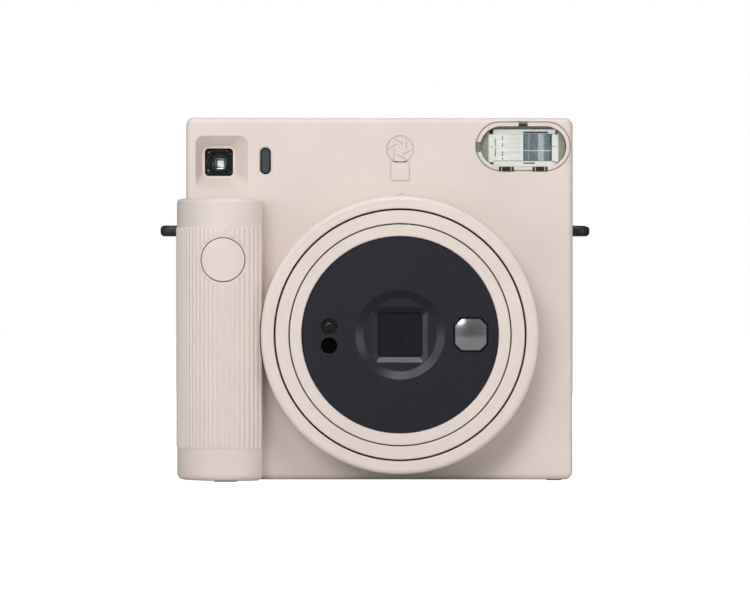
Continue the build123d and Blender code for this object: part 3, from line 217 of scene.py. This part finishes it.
def glass(name, colour, rough=0.02):
    """Optical glass that bends what is behind it, with a faint coating tint."""
    nodes = Nodes(name)
    flow = nodes.noise(90, 1)
    tone = nodes.ramp(flow, [(0.3, shade(colour, 0.97)), (0.7, shade(colour, 1.0))])
    nodes.join(tone, nodes.shader.inputs["Base Color"])
    nodes.join(nodes.span(flow, rough, rough + 0.01), nodes.shader.inputs["Roughness"])
    nodes.set(Transmission_Weight=1.0, IOR=1.5)
    return nodes.material


def reflection_banded(name, low_x, high_x, stops, lines, streak):
    """A prism sheet whose colour goes across X in soft bands of painted reflection, bright and dark, with
    fine lines over it.
    """
    nodes = Nodes(name)
    split = nodes.add("ShaderNodeSeparateXYZ")
    nodes.join(nodes.coords, split.inputs["Vector"])
    across = nodes.add("ShaderNodeMapRange")
    across.inputs["From Min"].default_value = low_x
    across.inputs["From Max"].default_value = high_x
    nodes.join(split.outputs["X"], across.inputs["Value"])
    bands = nodes.ramp(across.outputs["Result"], stops)
    fine = nodes.ramp(nodes.noise(1400, 2, stretch=lines),
                      [(0.35, (streak, streak, streak, 1)), (0.65, (1, 1, 1, 1))])
    both = nodes.add("ShaderNodeMix", data_type="RGBA", blend_type="MULTIPLY")
    both.inputs["Factor"].default_value = 1.0
    nodes.join(bands, both.inputs["A"])
    nodes.join(fine, both.inputs["B"])
    nodes.join(both.outputs["Result"], nodes.shader.inputs["Base Color"])
    nodes.join(nodes.span(nodes.noise(900, 2), 0.18, 0.34), nodes.shader.inputs["Roughness"])
    return nodes.material


def rubber(name, colour):
    """Matt rubber with a dusty bloom."""
    nodes = Nodes(name)
    bloom = nodes.noise(180, 5)
    tone = nodes.ramp(bloom, [(0.35, colour), (0.75, shade(colour, 1.6))])
    nodes.join(tone, nodes.shader.inputs["Base Color"])
    nodes.join(nodes.span(bloom, 0.7, 0.9), nodes.shader.inputs["Roughness"])
    nodes.bump(nodes.noise(2500, 2), 0.00002, 0.6)
    return nodes.material


SHELL = linear(229, 216, 209)
RING = linear(233, 219, 211)

finish = {
    "body_shell": moulded("body_shell", SHELL, rough=0.42),
    "ring_plastic": moulded("ring_plastic", RING, rough=0.4),
    "black_plastic": moulded("black_plastic", linear(40, 40, 44), rough=0.38, variation=0.06),
    "dark_plastic": moulded("dark_plastic", linear(14, 14, 17), rough=0.6, variation=0.1, specular=0.2),
    "bezel_plastic": moulded("bezel_plastic", linear(31, 32, 41), rough=0.32, variation=0.02,
                             grain=2600, grain_depth=0.000001),
    "sensor_lens": moulded("sensor_lens", linear(16, 20, 22), rough=0.12, coat=1.0),
    "blade_metal": moulded("blade_metal", linear(17, 19, 26), rough=0.42, variation=0.05, grain=2200,
                           specular=0.26),
    "mirror": metal("mirror", (0.86, 0.88, 0.91, 1), rough=0.14, brush=(0.2, 0.2, 0.2), depth=0.0000001),
    "optic_glass": glass("optic_glass", linear(244, 250, 250)),
    "clear_pane": pane("clear_pane", linear(120, 126, 122), 0.05),
    "tinted_pane": pane("tinted_pane", linear(62, 68, 74), 0.97, rough=0.3),
    "amber_pane": pane("amber_pane", linear(226, 150, 38), 0.6),
    "reflector": metal("reflector", (0.86, 0.87, 0.88, 1), rough=0.2, brush=(60, 1, 1)),
    "capacitor_sleeve": moulded("capacitor_sleeve", linear(22, 24, 44), rough=0.25, coat=0.4),
    "board": moulded("board", linear(18, 74, 44), rough=0.35, variation=0.12, grain=900),
    "spring_steel": metal("spring_steel", (0.62, 0.62, 0.61, 1), rough=0.28),
    "screw_steel": metal("screw_steel", (0.12, 0.12, 0.125, 1), rough=0.4),
    "frame_steel": metal("frame_steel", (0.55, 0.55, 0.54, 1), rough=0.38, brush=(30, 1, 1)),
    "roller_rubber": rubber("roller_rubber", linear(34, 34, 36)),
    "gear_plastic": moulded("gear_plastic", linear(228, 224, 208), rough=0.4, variation=0.02),
    "gear_brass": metal("gear_brass", (0.78, 0.58, 0.28, 1), rough=0.3),
    "dial_plastic": moulded("dial_plastic", linear(232, 232, 228), rough=0.5),
    "cell_sleeve": moulded("cell_sleeve", linear(70, 84, 92), rough=0.25, coat=0.5),
}

for row in frame["record"]["subparts"]:
    data = frame["nodes"][row["node"]].data
    data.materials.clear()
    data.materials.append(finish[row["material_slot"]])


# ---- Mesh tools ----


def add_piece(name, mesh, body, material):
    """Puts a mesh in the scene, riding on a body."""
    piece = bpy.data.objects.new(name, mesh)
    scene.collection.objects.link(piece)
    mesh.materials.append(material)
    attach(piece, body)
    return piece


def rounded(cx, cz, width, height, radius, steps=6):
    """Points of a rounded rectangle in X and Z, anticlockwise."""
    points = []
    for quarter, (sx, sz) in enumerate(((1, 1), (-1, 1), (-1, -1), (1, -1))):
        x = cx + sx * (width / 2 - radius)
        z = cz + sz * (height / 2 - radius)
        for i in range(steps + 1):
            angle = math.radians(90 * (quarter + i / steps))
            points.append((x + radius * math.cos(angle), z + radius * math.sin(angle)))
    return points


def circle(cx, cz, radius, steps=48):
    """Points of a circle in X and Z, anticlockwise."""
    turns = [2 * math.pi * i / steps for i in range(steps)]
    return [(cx + radius * math.cos(turn), cz + radius * math.sin(turn)) for turn in turns]


def stadium(cx, cz, width, height, steps=72):
    """Points of a level slot with round ends, in X and Z."""
    radius = height / 2
    reach = width / 2 - radius
    points = []
    for i in range(steps):
        turn = math.radians(360 * i / steps)
        side = reach if math.cos(turn + 1e-6) > 0 else -reach
        points.append((cx + side + radius * math.cos(turn), cz + radius * math.sin(turn)))
    return points


def plate_mesh(name, loops, y_front, y_back):
    """A flat plate in X and Z between two depths. A loop in an outline is a hole, one in a hole an island."""
    curve = bpy.data.curves.new(name, "CURVE")
    curve.dimensions = "2D"
    curve.fill_mode = "BOTH"
    curve.extrude = (y_back - y_front) / 2
    for loop in loops:
        spline = curve.splines.new("POLY")
        spline.points.add(len(loop) - 1)
        for point, (x, z) in zip(spline.points, loop):
            point.co = (x, z, 0, 1)
        spline.use_cyclic_u = True
    holder = bpy.data.objects.new(name, curve)
    scene.collection.objects.link(holder)
    bpy.context.view_layer.update()
    mesh = bpy.data.meshes.new_from_object(holder.evaluated_get(bpy.context.evaluated_depsgraph_get()))
    bpy.data.objects.remove(holder)
    bpy.data.curves.remove(curve)
    mesh.name = name
    mesh.materials.clear()
    place = Matrix.Translation((0, (y_front + y_back) / 2, 0)) @ Matrix.Rotation(math.radians(90), 4, "X")
    mesh.transform(place)
    return mesh


# ---- Flash: what shows through its window ----

RIDGE_DEPTH = 0.08 * MM
RIDGE_PITCH = 0.42 * MM
FLASH_BACK = REFLECTOR_FRONT - 0.02 * MM
FLASH_SHEET = FLASH_BACK - 0.2 * MM
FLASH_CARD = FLASH_SHEET - 0.1 * MM
SHADOW_STRIP_FRONT = FLASH_CARD - 0.05 * MM
FLASH_X = FLASH_WINDOW_MID.x
FLASH_Z = FLASH_WINDOW_MID.z
CARD_SIZE = (27.7 * MM, 12.8 * MM)
CARD_HOLE = (22.2 * MM, 12.2 * MM)
CARD_HOLE_CORNER = 0.6 * MM
CARD_CORNER = 0.3 * MM
LINE_CORNER = 0.09 * MM
TICK_HALF = 0.25


def ridged_sheet(name, low_x, high_x, low_z, high_z, y_front, y_back, pitch, upright):
    """A prism sheet: a thin plate whose front is a row of ridges, upright or level."""
    low, high = (low_x, high_x) if upright else (low_z, high_z)
    count = max(2, round((high - low) / pitch))
    step = (high - low) / count
    profile = [(low, y_back)]
    for i in range(count):
        profile.append((low + i * step, y_front + RIDGE_DEPTH))
        profile.append((low + (i + 0.5) * step, y_front))
    profile.append((high, y_front + RIDGE_DEPTH))
    profile.append((high, y_back))
    tool = bmesh.new()
    ends = (low_z, high_z) if upright else (low_x, high_x)
    rows = []
    for end in ends:
        rows.append([tool.verts.new((a, y, end) if upright else (end, y, a)) for a, y in profile])
    for i in range(len(profile)):
        j = (i + 1) % len(profile)
        tool.faces.new((rows[0][i], rows[0][j], rows[1][j], rows[1][i]))
    tool.faces.new(rows[0])
    tool.faces.new(rows[1])
    bmesh.ops.recalc_face_normals(tool, faces=tool.faces)
    mesh = bpy.data.meshes.new(name)
    tool.to_mesh(mesh)
    tool.free()
    return mesh


def strip(name, low_x, high_x, low_z, high_z, y_front, y_back, radius):
    """A flat plate with rounded corners."""
    width, height = high_x - low_x, high_z - low_z
    outline = rounded(low_x + width / 2, low_z + height / 2, width, height, radius)
    return plate_mesh(name, [outline], y_front, y_back)


def flash_span(low_x, high_x, low_z, high_z):
    """Sizes in mm from the middle of the flash window, as places."""
    return FLASH_X + low_x * MM, FLASH_X + high_x * MM, FLASH_Z + low_z * MM, FLASH_Z + high_z * MM


white_card = moulded("white_card", linear(250, 254, 247), rough=0.3, variation=0.03)
grey_card = moulded("grey_card", linear(158, 163, 148), rough=0.35, variation=0.08)
shadow_card = moulded("shadow_card", linear(44, 54, 56), rough=0.4, variation=0.1)
clip_dark = moulded("clip_dark", linear(34, 40, 24), rough=0.3, variation=0.2)
clip_grey = moulded("clip_grey", linear(120, 128, 112), rough=0.3, variation=0.1)
clip_edge = moulded("clip_edge", linear(170, 178, 108), rough=0.3, variation=0.05)
# Painted reflection: the left sheet is painted bright and the right one dark blue-grey with bright bands,
# standing in for what the flash reflector mirrors.
painted_bright_reflection = reflection_banded("painted_bright_reflection", FLASH_X - 9.4 * MM, FLASH_X, [
    (0.0, linear(238, 243, 237)), (0.3, linear(250, 252, 245)), (0.45, linear(240, 243, 235)),
    (0.85, linear(232, 235, 227)), (1.0, linear(247, 251, 246))], (0.05, 1, 1.0), 0.93)
painted_dark_reflection = reflection_banded("painted_dark_reflection", FLASH_X, FLASH_X + 9.2 * MM, [
    (0.0, linear(84, 104, 116)), (0.17, linear(112, 132, 142)), (0.2, linear(170, 184, 190)),
    (0.24, linear(98, 118, 130)), (0.5, linear(112, 130, 140)), (0.57, linear(204, 212, 212)),
    (0.7, linear(190, 200, 202)), (0.76, linear(118, 134, 142)), (1.0, linear(92, 106, 112))],
    (1.0, 1, 0.25), 0.7)

card_loops = [stadium(FLASH_X, FLASH_Z, *CARD_SIZE),
              rounded(FLASH_X, FLASH_Z, *CARD_HOLE, CARD_HOLE_CORNER)]
add_piece("flash_card", plate_mesh("flash_card", card_loops, FLASH_SHEET, FLASH_BACK), BODY, grey_card)
for name, place, sheet, upright in (
        ("flash_sheet_left", (-9.4, 0.0, -4.6, 4.3), painted_bright_reflection, False),
        ("flash_sheet_right", (0.0, 9.4, -4.6, 4.3), painted_dark_reflection, True)):
    mesh = ridged_sheet(name, *flash_span(*place), FLASH_SHEET, FLASH_BACK, RIDGE_PITCH, upright)
    add_piece(name, mesh, BODY, sheet)
for name, place, card in (
        ("flash_bar_top", (-9.8, 10.6, 4.25, 5.65), white_card),
        ("flash_bar_bottom", (-9.8, 10.6, -6.45, -4.75), white_card),
        ("flash_bracket_left", (-11.3, -9.3, -5.1, 4.1), white_card),
        ("flash_bracket_right", (9.4, 11.5, -5.1, 4.1), white_card)):
    add_piece(name, strip(name, *flash_span(*place), FLASH_CARD, FLASH_BACK, CARD_CORNER), BODY, card)
# Dark strips and ticks of painted shadow on the flash sheets.
shadow_strips = [("top_stripe", (0.05, 8.2, 4.35, 4.95)), ("bottom_stripe", (0.05, 3.8, -5.6, -5.2)),
         ("mid_left", (-11.1, -9.7, -0.15, -0.02)), ("mid_right", (9.3, 10.9, 0.0, 0.13)),
         ("brace_left_upper", (-9.25, -9.05, 0.3, 2.6)), ("brace_left_lower", (-9.25, -9.05, -3.0, -0.5)),
         ("brace_right_upper", (9.0, 9.25, 0.6, 4.1)), ("brace_right_lower", (9.0, 9.25, -4.2, -0.5))]
shadow_strips += [("tick_%d" % i, (-6.95, -6.6, z - TICK_HALF, z + TICK_HALF))
          for i, z in enumerate((3.2, 2.4, 0.9, 0.2, -1.9, -2.7, -3.9))]
for name, place in shadow_strips:
    low_x, high_x, low_z, high_z = flash_span(*place)
    corner = 0.45 * min(high_x - low_x, high_z - low_z)
    mesh = strip(name, low_x, high_x, low_z, high_z, SHADOW_STRIP_FRONT, FLASH_SHEET, corner)
    add_piece("flash_" + name, mesh, BODY, shadow_card)
line_place = flash_span(0.1, 9.3, -1.4, -1.2)
line_mesh = strip("flash_line", *line_place, FLASH_CARD, FLASH_SHEET, LINE_CORNER)
add_piece("flash_line", line_mesh, BODY, white_card)

CLIP_FRONT = BODY_FRONT - 0.04 * MM
CLIP_BACK = CLIP_FRONT + 0.4 * MM
CLIP_EDGE_FRONT = CLIP_FRONT - 0.03 * MM
CLIP_EDGE_BACK = CLIP_FRONT + 0.2 * MM
CLIP_CORNER = 0.12 * MM
CLIP_EDGE_CORNER = 0.08 * MM


def clip(name, low_x, high_x, low_z, high_z):
    """A latch seen through the lip of the flash: a dark window with pale edges."""
    width = high_x - low_x
    place = flash_span(low_x, high_x, low_z, high_z)
    add_piece(name, strip(name, *place, CLIP_FRONT, CLIP_BACK, CLIP_CORNER), BODY, clip_dark)
    for side, at in (("a", low_x + 0.14 * width), ("b", high_x - 0.22 * width)):
        place = flash_span(at, at + 0.08 * width, low_z + 0.05, high_z - 0.05)
        mesh = strip(name + side, *place, CLIP_EDGE_FRONT, CLIP_EDGE_BACK, CLIP_EDGE_CORNER)
        add_piece(name + "_" + side, mesh, BODY, clip_edge)


clip("flash_clip_bottom_left", -8.0, -3.1, -8.05, -6.65)
clip("flash_clip_bottom_right", 3.0, 7.9, -8.05, -6.65)
for name, place, colour in (("flash_clip_top_dark", (-1.6, 1.4, 6.6, 7.3), clip_dark),
                            ("flash_clip_top_grey", (-1.6, 1.4, 7.3, 7.85), clip_grey),
                            ("flash_clip_left", (-15.3, -14.0, -1.9, 1.5), clip_grey)):
    mesh = strip(name, *flash_span(*place), CLIP_FRONT, CLIP_BACK, CLIP_CORNER)
    add_piece(name, mesh, BODY, colour)


# ---- Front: light meter border, finder mask, sensor well ----

METER_OUTER = (3.4 * MM, 8.7 * MM, 1.69 * MM)
METER_INNER = (2.5 * MM, 7.8 * MM, 1.24 * MM)
MASK_OUTER = (9.8 * MM, 9.8 * MM, 0.9 * MM)
MASK_INNER = (8.0 * MM, 8.0 * MM, 1.6 * MM)
MASK_GAP = 0.05 * MM
MASK_THICKNESS = 0.4 * MM
BORDER_PROUD = 0.04 * MM
BORDER_SUNK = 0.1 * MM
SENSOR_DROP = 6.2 * MM
WELL_CLEARANCE = 0.05 * MM
WELL_FRONT = 0.35 * MM
WELL_BACK = 0.02 * MM

meter_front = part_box("metering_window")[0].y
meter_loops = [rounded(METER_MID.x, METER_MID.z, *METER_OUTER),
               rounded(METER_MID.x, METER_MID.z, *METER_INNER)]
border = moulded("meter_border", linear(18, 20, 24), rough=0.5, specular=0.15)
border_mesh = plate_mesh("meter_border", meter_loops, meter_front - BORDER_PROUD, meter_front + BORDER_SUNK)
add_piece("meter_border", border_mesh, BODY, border)

soot = moulded("soot", linear(5, 5, 7), rough=0.8, variation=0.2, specular=0.05)
mask_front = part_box("finder_window")[1].y + MASK_GAP
mask_loops = [rounded(FINDER_MID.x, FINDER_MID.z, *MASK_OUTER),
              rounded(FINDER_MID.x, FINDER_MID.z, *MASK_INNER)]
mask_mesh = plate_mesh("finder_mask", mask_loops, mask_front, mask_front + MASK_THICKNESS)
add_piece("finder_mask", mask_mesh, BODY, soot)

sensor_low, sensor_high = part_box("light_sensor_lens")
well_radius = (sensor_high.x - sensor_low.x) / 2 - WELL_CLEARANCE
well_loop = circle(SENSOR_MID.x, SENSOR_MID.z - SENSOR_DROP, well_radius)
well = plate_mesh("sensor_well", [well_loop], sensor_high.y - WELL_FRONT, sensor_high.y - WELL_BACK)
add_piece("sensor_well", well, "front_tube", soot)

tube_slots = frame["nodes"]["finder_tube"].data.materials
tube_slots.clear()
tube_slots.append(soot)


# ---- Front mark: painted shade on the floor of its engraved lines ----

MARK_X = 8.2 * MM
MARK_RING_Z = 108.4 * MM
MARK_RING_R = 4.6 * MM
MARK_IRIS_R = 2.0 * MM
MARK_BLADES = 6
MARK_BLADE_LENGTH = 3.5 * MM
MARK_FRAME_Z = 101.2 * MM
MARK_FRAME_WIDTH = 6.6 * MM
MARK_LINE = 0.45 * MM
MARK_GAP = 0.02 * MM
MARK_DEPTH = 0.25 * MM
MARK_PLATE_HALF = 0.05 * MM
MARK_CORNER_OUTER = 0.78 * MM
MARK_CORNER_INNER = 0.42 * MM
MARK_RING_STEPS = 72
INDEX_DOT_HEIGHT = 0.45 * MM


def tangent_bar(turn):
    """One straight blade of the iris, from the small circle out towards the ring."""
    across = Vector((math.cos(turn), math.sin(turn)))
    along = Vector((-math.sin(turn), math.cos(turn)))
    half_line = MARK_LINE / 2 - MARK_GAP
    corners = ((-1, 0), (1, 0), (1, MARK_BLADE_LENGTH), (-1, MARK_BLADE_LENGTH))
    centre = Vector((MARK_X, MARK_RING_Z))
    return [tuple(centre + across * (MARK_IRIS_R + side * half_line) + along * reach)
            for side, reach in corners]


iris_loops = [circle(MARK_X, MARK_RING_Z, MARK_RING_R - MARK_GAP, MARK_RING_STEPS),
              circle(MARK_X, MARK_RING_Z, MARK_RING_R - MARK_LINE + MARK_GAP, MARK_RING_STEPS)]
iris_loops += [tangent_bar(2 * math.pi * i / MARK_BLADES) for i in range(MARK_BLADES)]
outer_width = MARK_FRAME_WIDTH - 2 * MARK_GAP
inner_width = MARK_FRAME_WIDTH - 2 * MARK_LINE + 2 * MARK_GAP
frame_loops = [rounded(MARK_X, MARK_FRAME_Z, outer_width, outer_width, MARK_CORNER_OUTER),
               rounded(MARK_X, MARK_FRAME_Z, inner_width, inner_width, MARK_CORNER_INNER)]
mark_floor = CASING_BOX_FRONT + INDEX_DOT_HEIGHT + MARK_DEPTH
# The floors of the engraved lines are painted darker than the shell: painted shade in the grooves.
mark_groove_shade = moulded("mark_groove_shade", linear(209, 196, 189), rough=0.5)
for name, loops in (("mark_iris_floor", iris_loops), ("mark_frame_floor", frame_loops)):
    mesh = plate_mesh(name, loops, mark_floor - MARK_PLATE_HALF, mark_floor + MARK_PLATE_HALF)
    add_piece(name, mesh, BODY, mark_groove_shade)


# ---- Button spring: a coil that rides on the button ----

SPRING_TURNS = 3.5
SPRING_WIRE = 0.3 * MM
SPRING_STEPS = 40
WIRE_SIDES = 10


def coil_mesh(name, centre, radius, low_y, high_y, turns, wire):
    """A round wire wound along Y, with closed ends."""
    steps = round(turns * SPRING_STEPS)
    tool = bmesh.new()
    rings = []
    for i in range(steps + 1):
        turn = 2 * math.pi * turns * i / steps
        out = Vector((math.cos(turn), 0, math.sin(turn)))
        middle = Vector((centre.x, low_y + (high_y - low_y) * i / steps, centre.z)) + out * radius
        ring = []
        for j in range(WIRE_SIDES):
            around = 2 * math.pi * j / WIRE_SIDES
            offset = out * (wire * math.cos(around)) + Vector((0, wire * math.sin(around), 0))
            ring.append(tool.verts.new(middle + offset))
        rings.append(ring)
    for first, second in zip(rings, rings[1:]):
        for j in range(WIRE_SIDES):
            k = (j + 1) % WIRE_SIDES
            tool.faces.new((first[j], first[k], second[k], second[j]))
    tool.faces.new(rings[0])
    tool.faces.new(rings[-1])
    bmesh.ops.recalc_face_normals(tool, faces=tool.faces)
    mesh = bpy.data.meshes.new(name)
    tool.to_mesh(mesh)
    tool.free()
    return mesh


spring_low, spring_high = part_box("shutter_button_spring")
spring_radius = (spring_high.x - spring_low.x) / 2 - SPRING_WIRE
coil = coil_mesh("button_coil", SPRING_MID, spring_radius, spring_low.y + SPRING_WIRE,
                 spring_high.y - SPRING_WIRE, SPRING_TURNS, SPRING_WIRE)
button_coil = add_piece("button_coil", coil, "button", finish["spring_steel"])
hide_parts("shutter_button_spring")
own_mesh(button_coil)


# ---- Stage: floor, light, camera ----

CAMERA_DISTANCE = 1.45
CAMERA_HEIGHT = 0.0591
CAMERA_LENS = 211.1
CAMERA_SENSOR = 36
LIGHT_AIM = (0, 0, 0.06)
SKY_AIM = (-0.45, -0.3, 0.84)
SKY_FOCUS = 2.0
SKY_GAIN = 0.1
SKY_BASE = 0.09
FLOOR_RADIUS = 6.0
FLOOR_GLOW = 1.0


def make_floor():
    """Pale paper: bright where the camera sees it, but it throws little light back up."""
    mesh = bpy.data.meshes.new("floor")
    tool = bmesh.new()
    bmesh.ops.create_circle(tool, cap_ends=True, segments=96, radius=FLOOR_RADIUS)
    tool.to_mesh(mesh)
    tool.free()
    floor = bpy.data.objects.new("floor", mesh)
    scene.collection.objects.link(floor)
    nodes = Nodes("floor_paper")
    path = nodes.add("ShaderNodeLightPath")
    direct = nodes.seen_directly(path)
    tone = nodes.ramp(path.outputs["Is Glossy Ray"],
                      [(0.0, (0.75, 0.75, 0.75, 1)), (1.0, (0.2, 0.2, 0.2, 1))])
    seen = nodes.add("ShaderNodeMix", data_type="RGBA")
    seen.inputs["B"].default_value = (0.9, 0.9, 0.9, 1)
    nodes.join(direct, seen.inputs["Factor"])
    nodes.join(tone, seen.inputs["A"])
    nodes.join(seen.outputs["Result"], nodes.shader.inputs["Base Color"])
    nodes.join(direct, nodes.shader.inputs["Emission Strength"])
    nodes.set(Roughness=0.9, Specular_IOR_Level=0.1,
              Emission_Color=(FLOOR_GLOW, FLOOR_GLOW, FLOOR_GLOW, 1))
    mesh.materials.append(nodes.material)


def make_world():
    """A soft studio that is brightest above and to the left, and white behind the object."""
    world = bpy.data.worlds.new("studio")
    scene.world = world
    world.use_nodes = True
    world.node_tree.nodes.clear()
    sky = Tree(world.node_tree)
    coords = sky.add("ShaderNodeTexCoord")
    aim = sky.add("ShaderNodeVectorMath", operation="DOT_PRODUCT")
    aim.inputs[1].default_value = Vector(SKY_AIM).normalized()
    sky.join(coords.outputs["Generated"], aim.inputs[0])
    above = sky.add("ShaderNodeMath", operation="MAXIMUM")
    above.inputs[1].default_value = 0
    sky.join(aim.outputs["Value"], above.inputs[0])
    focus = sky.add("ShaderNodeMath", operation="POWER")
    focus.inputs[1].default_value = SKY_FOCUS
    sky.join(above.outputs["Value"], focus.inputs[0])
    level = sky.add("ShaderNodeMath", operation="MULTIPLY_ADD")
    level.inputs[1].default_value = SKY_GAIN
    level.inputs[2].default_value = SKY_BASE
    sky.join(focus.outputs["Value"], level.inputs[0])
    light = sky.add("ShaderNodeBackground")
    light.inputs["Color"].default_value = (1, 1, 1, 1)
    sky.join(level.outputs["Value"], light.inputs["Strength"])
    paper = sky.add("ShaderNodeBackground")
    paper.inputs["Color"].default_value = (1, 1, 1, 1)
    mix = sky.add("ShaderNodeMixShader")
    sky.join(sky.seen_directly(sky.add("ShaderNodeLightPath")), mix.inputs["Fac"])
    sky.join(light.outputs["Background"], mix.inputs[1])
    sky.join(paper.outputs["Background"], mix.inputs[2])
    out = sky.add("ShaderNodeOutputWorld")
    sky.join(mix.outputs["Shader"], out.inputs["Surface"])


def make_light(name, place, size, power):
    """A soft rectangular light, turned to the middle of the object."""
    data = bpy.data.lights.new(name, "AREA")
    data.shape = "RECTANGLE"
    data.size, data.size_y = size
    data.energy = power
    lamp = bpy.data.objects.new(name, data)
    lamp.location = place
    lamp.rotation_euler = (Vector(LIGHT_AIM) - Vector(place)).to_track_quat("-Z", "Y").to_euler()
    scene.collection.objects.link(lamp)


def make_camera():
    data = bpy.data.cameras.new("camera")
    data.lens = CAMERA_LENS
    data.sensor_width = CAMERA_SENSOR
    camera = bpy.data.objects.new("camera", data)
    camera.location = (0, -CAMERA_DISTANCE, CAMERA_HEIGHT)
    camera.rotation_euler = (math.radians(90), 0, 0)
    scene.collection.objects.link(camera)
    scene.camera = camera


make_floor()
make_world()
make_light("key", (-0.35, -1.15, 0.55), (0.5, 0.5), 4.6)
make_light("left", (-1.05, -0.9, 0.2), (0.6, 0.36), 2.2)
make_light("right", (0.85, -1.05, 0.2), (0.6, 0.36), 1.9)
make_light("front", (0.08, -0.76, 0.92), (0.4, 0.3), 3.4)
make_light("above", (-0.05, -0.12, 0.9), (0.6, 0.5), 1.6)
make_light("back", (0.3, 1.1, 0.6), (0.8, 0.6), 12.0)
make_camera()
scene.view_settings.view_transform = "Standard"
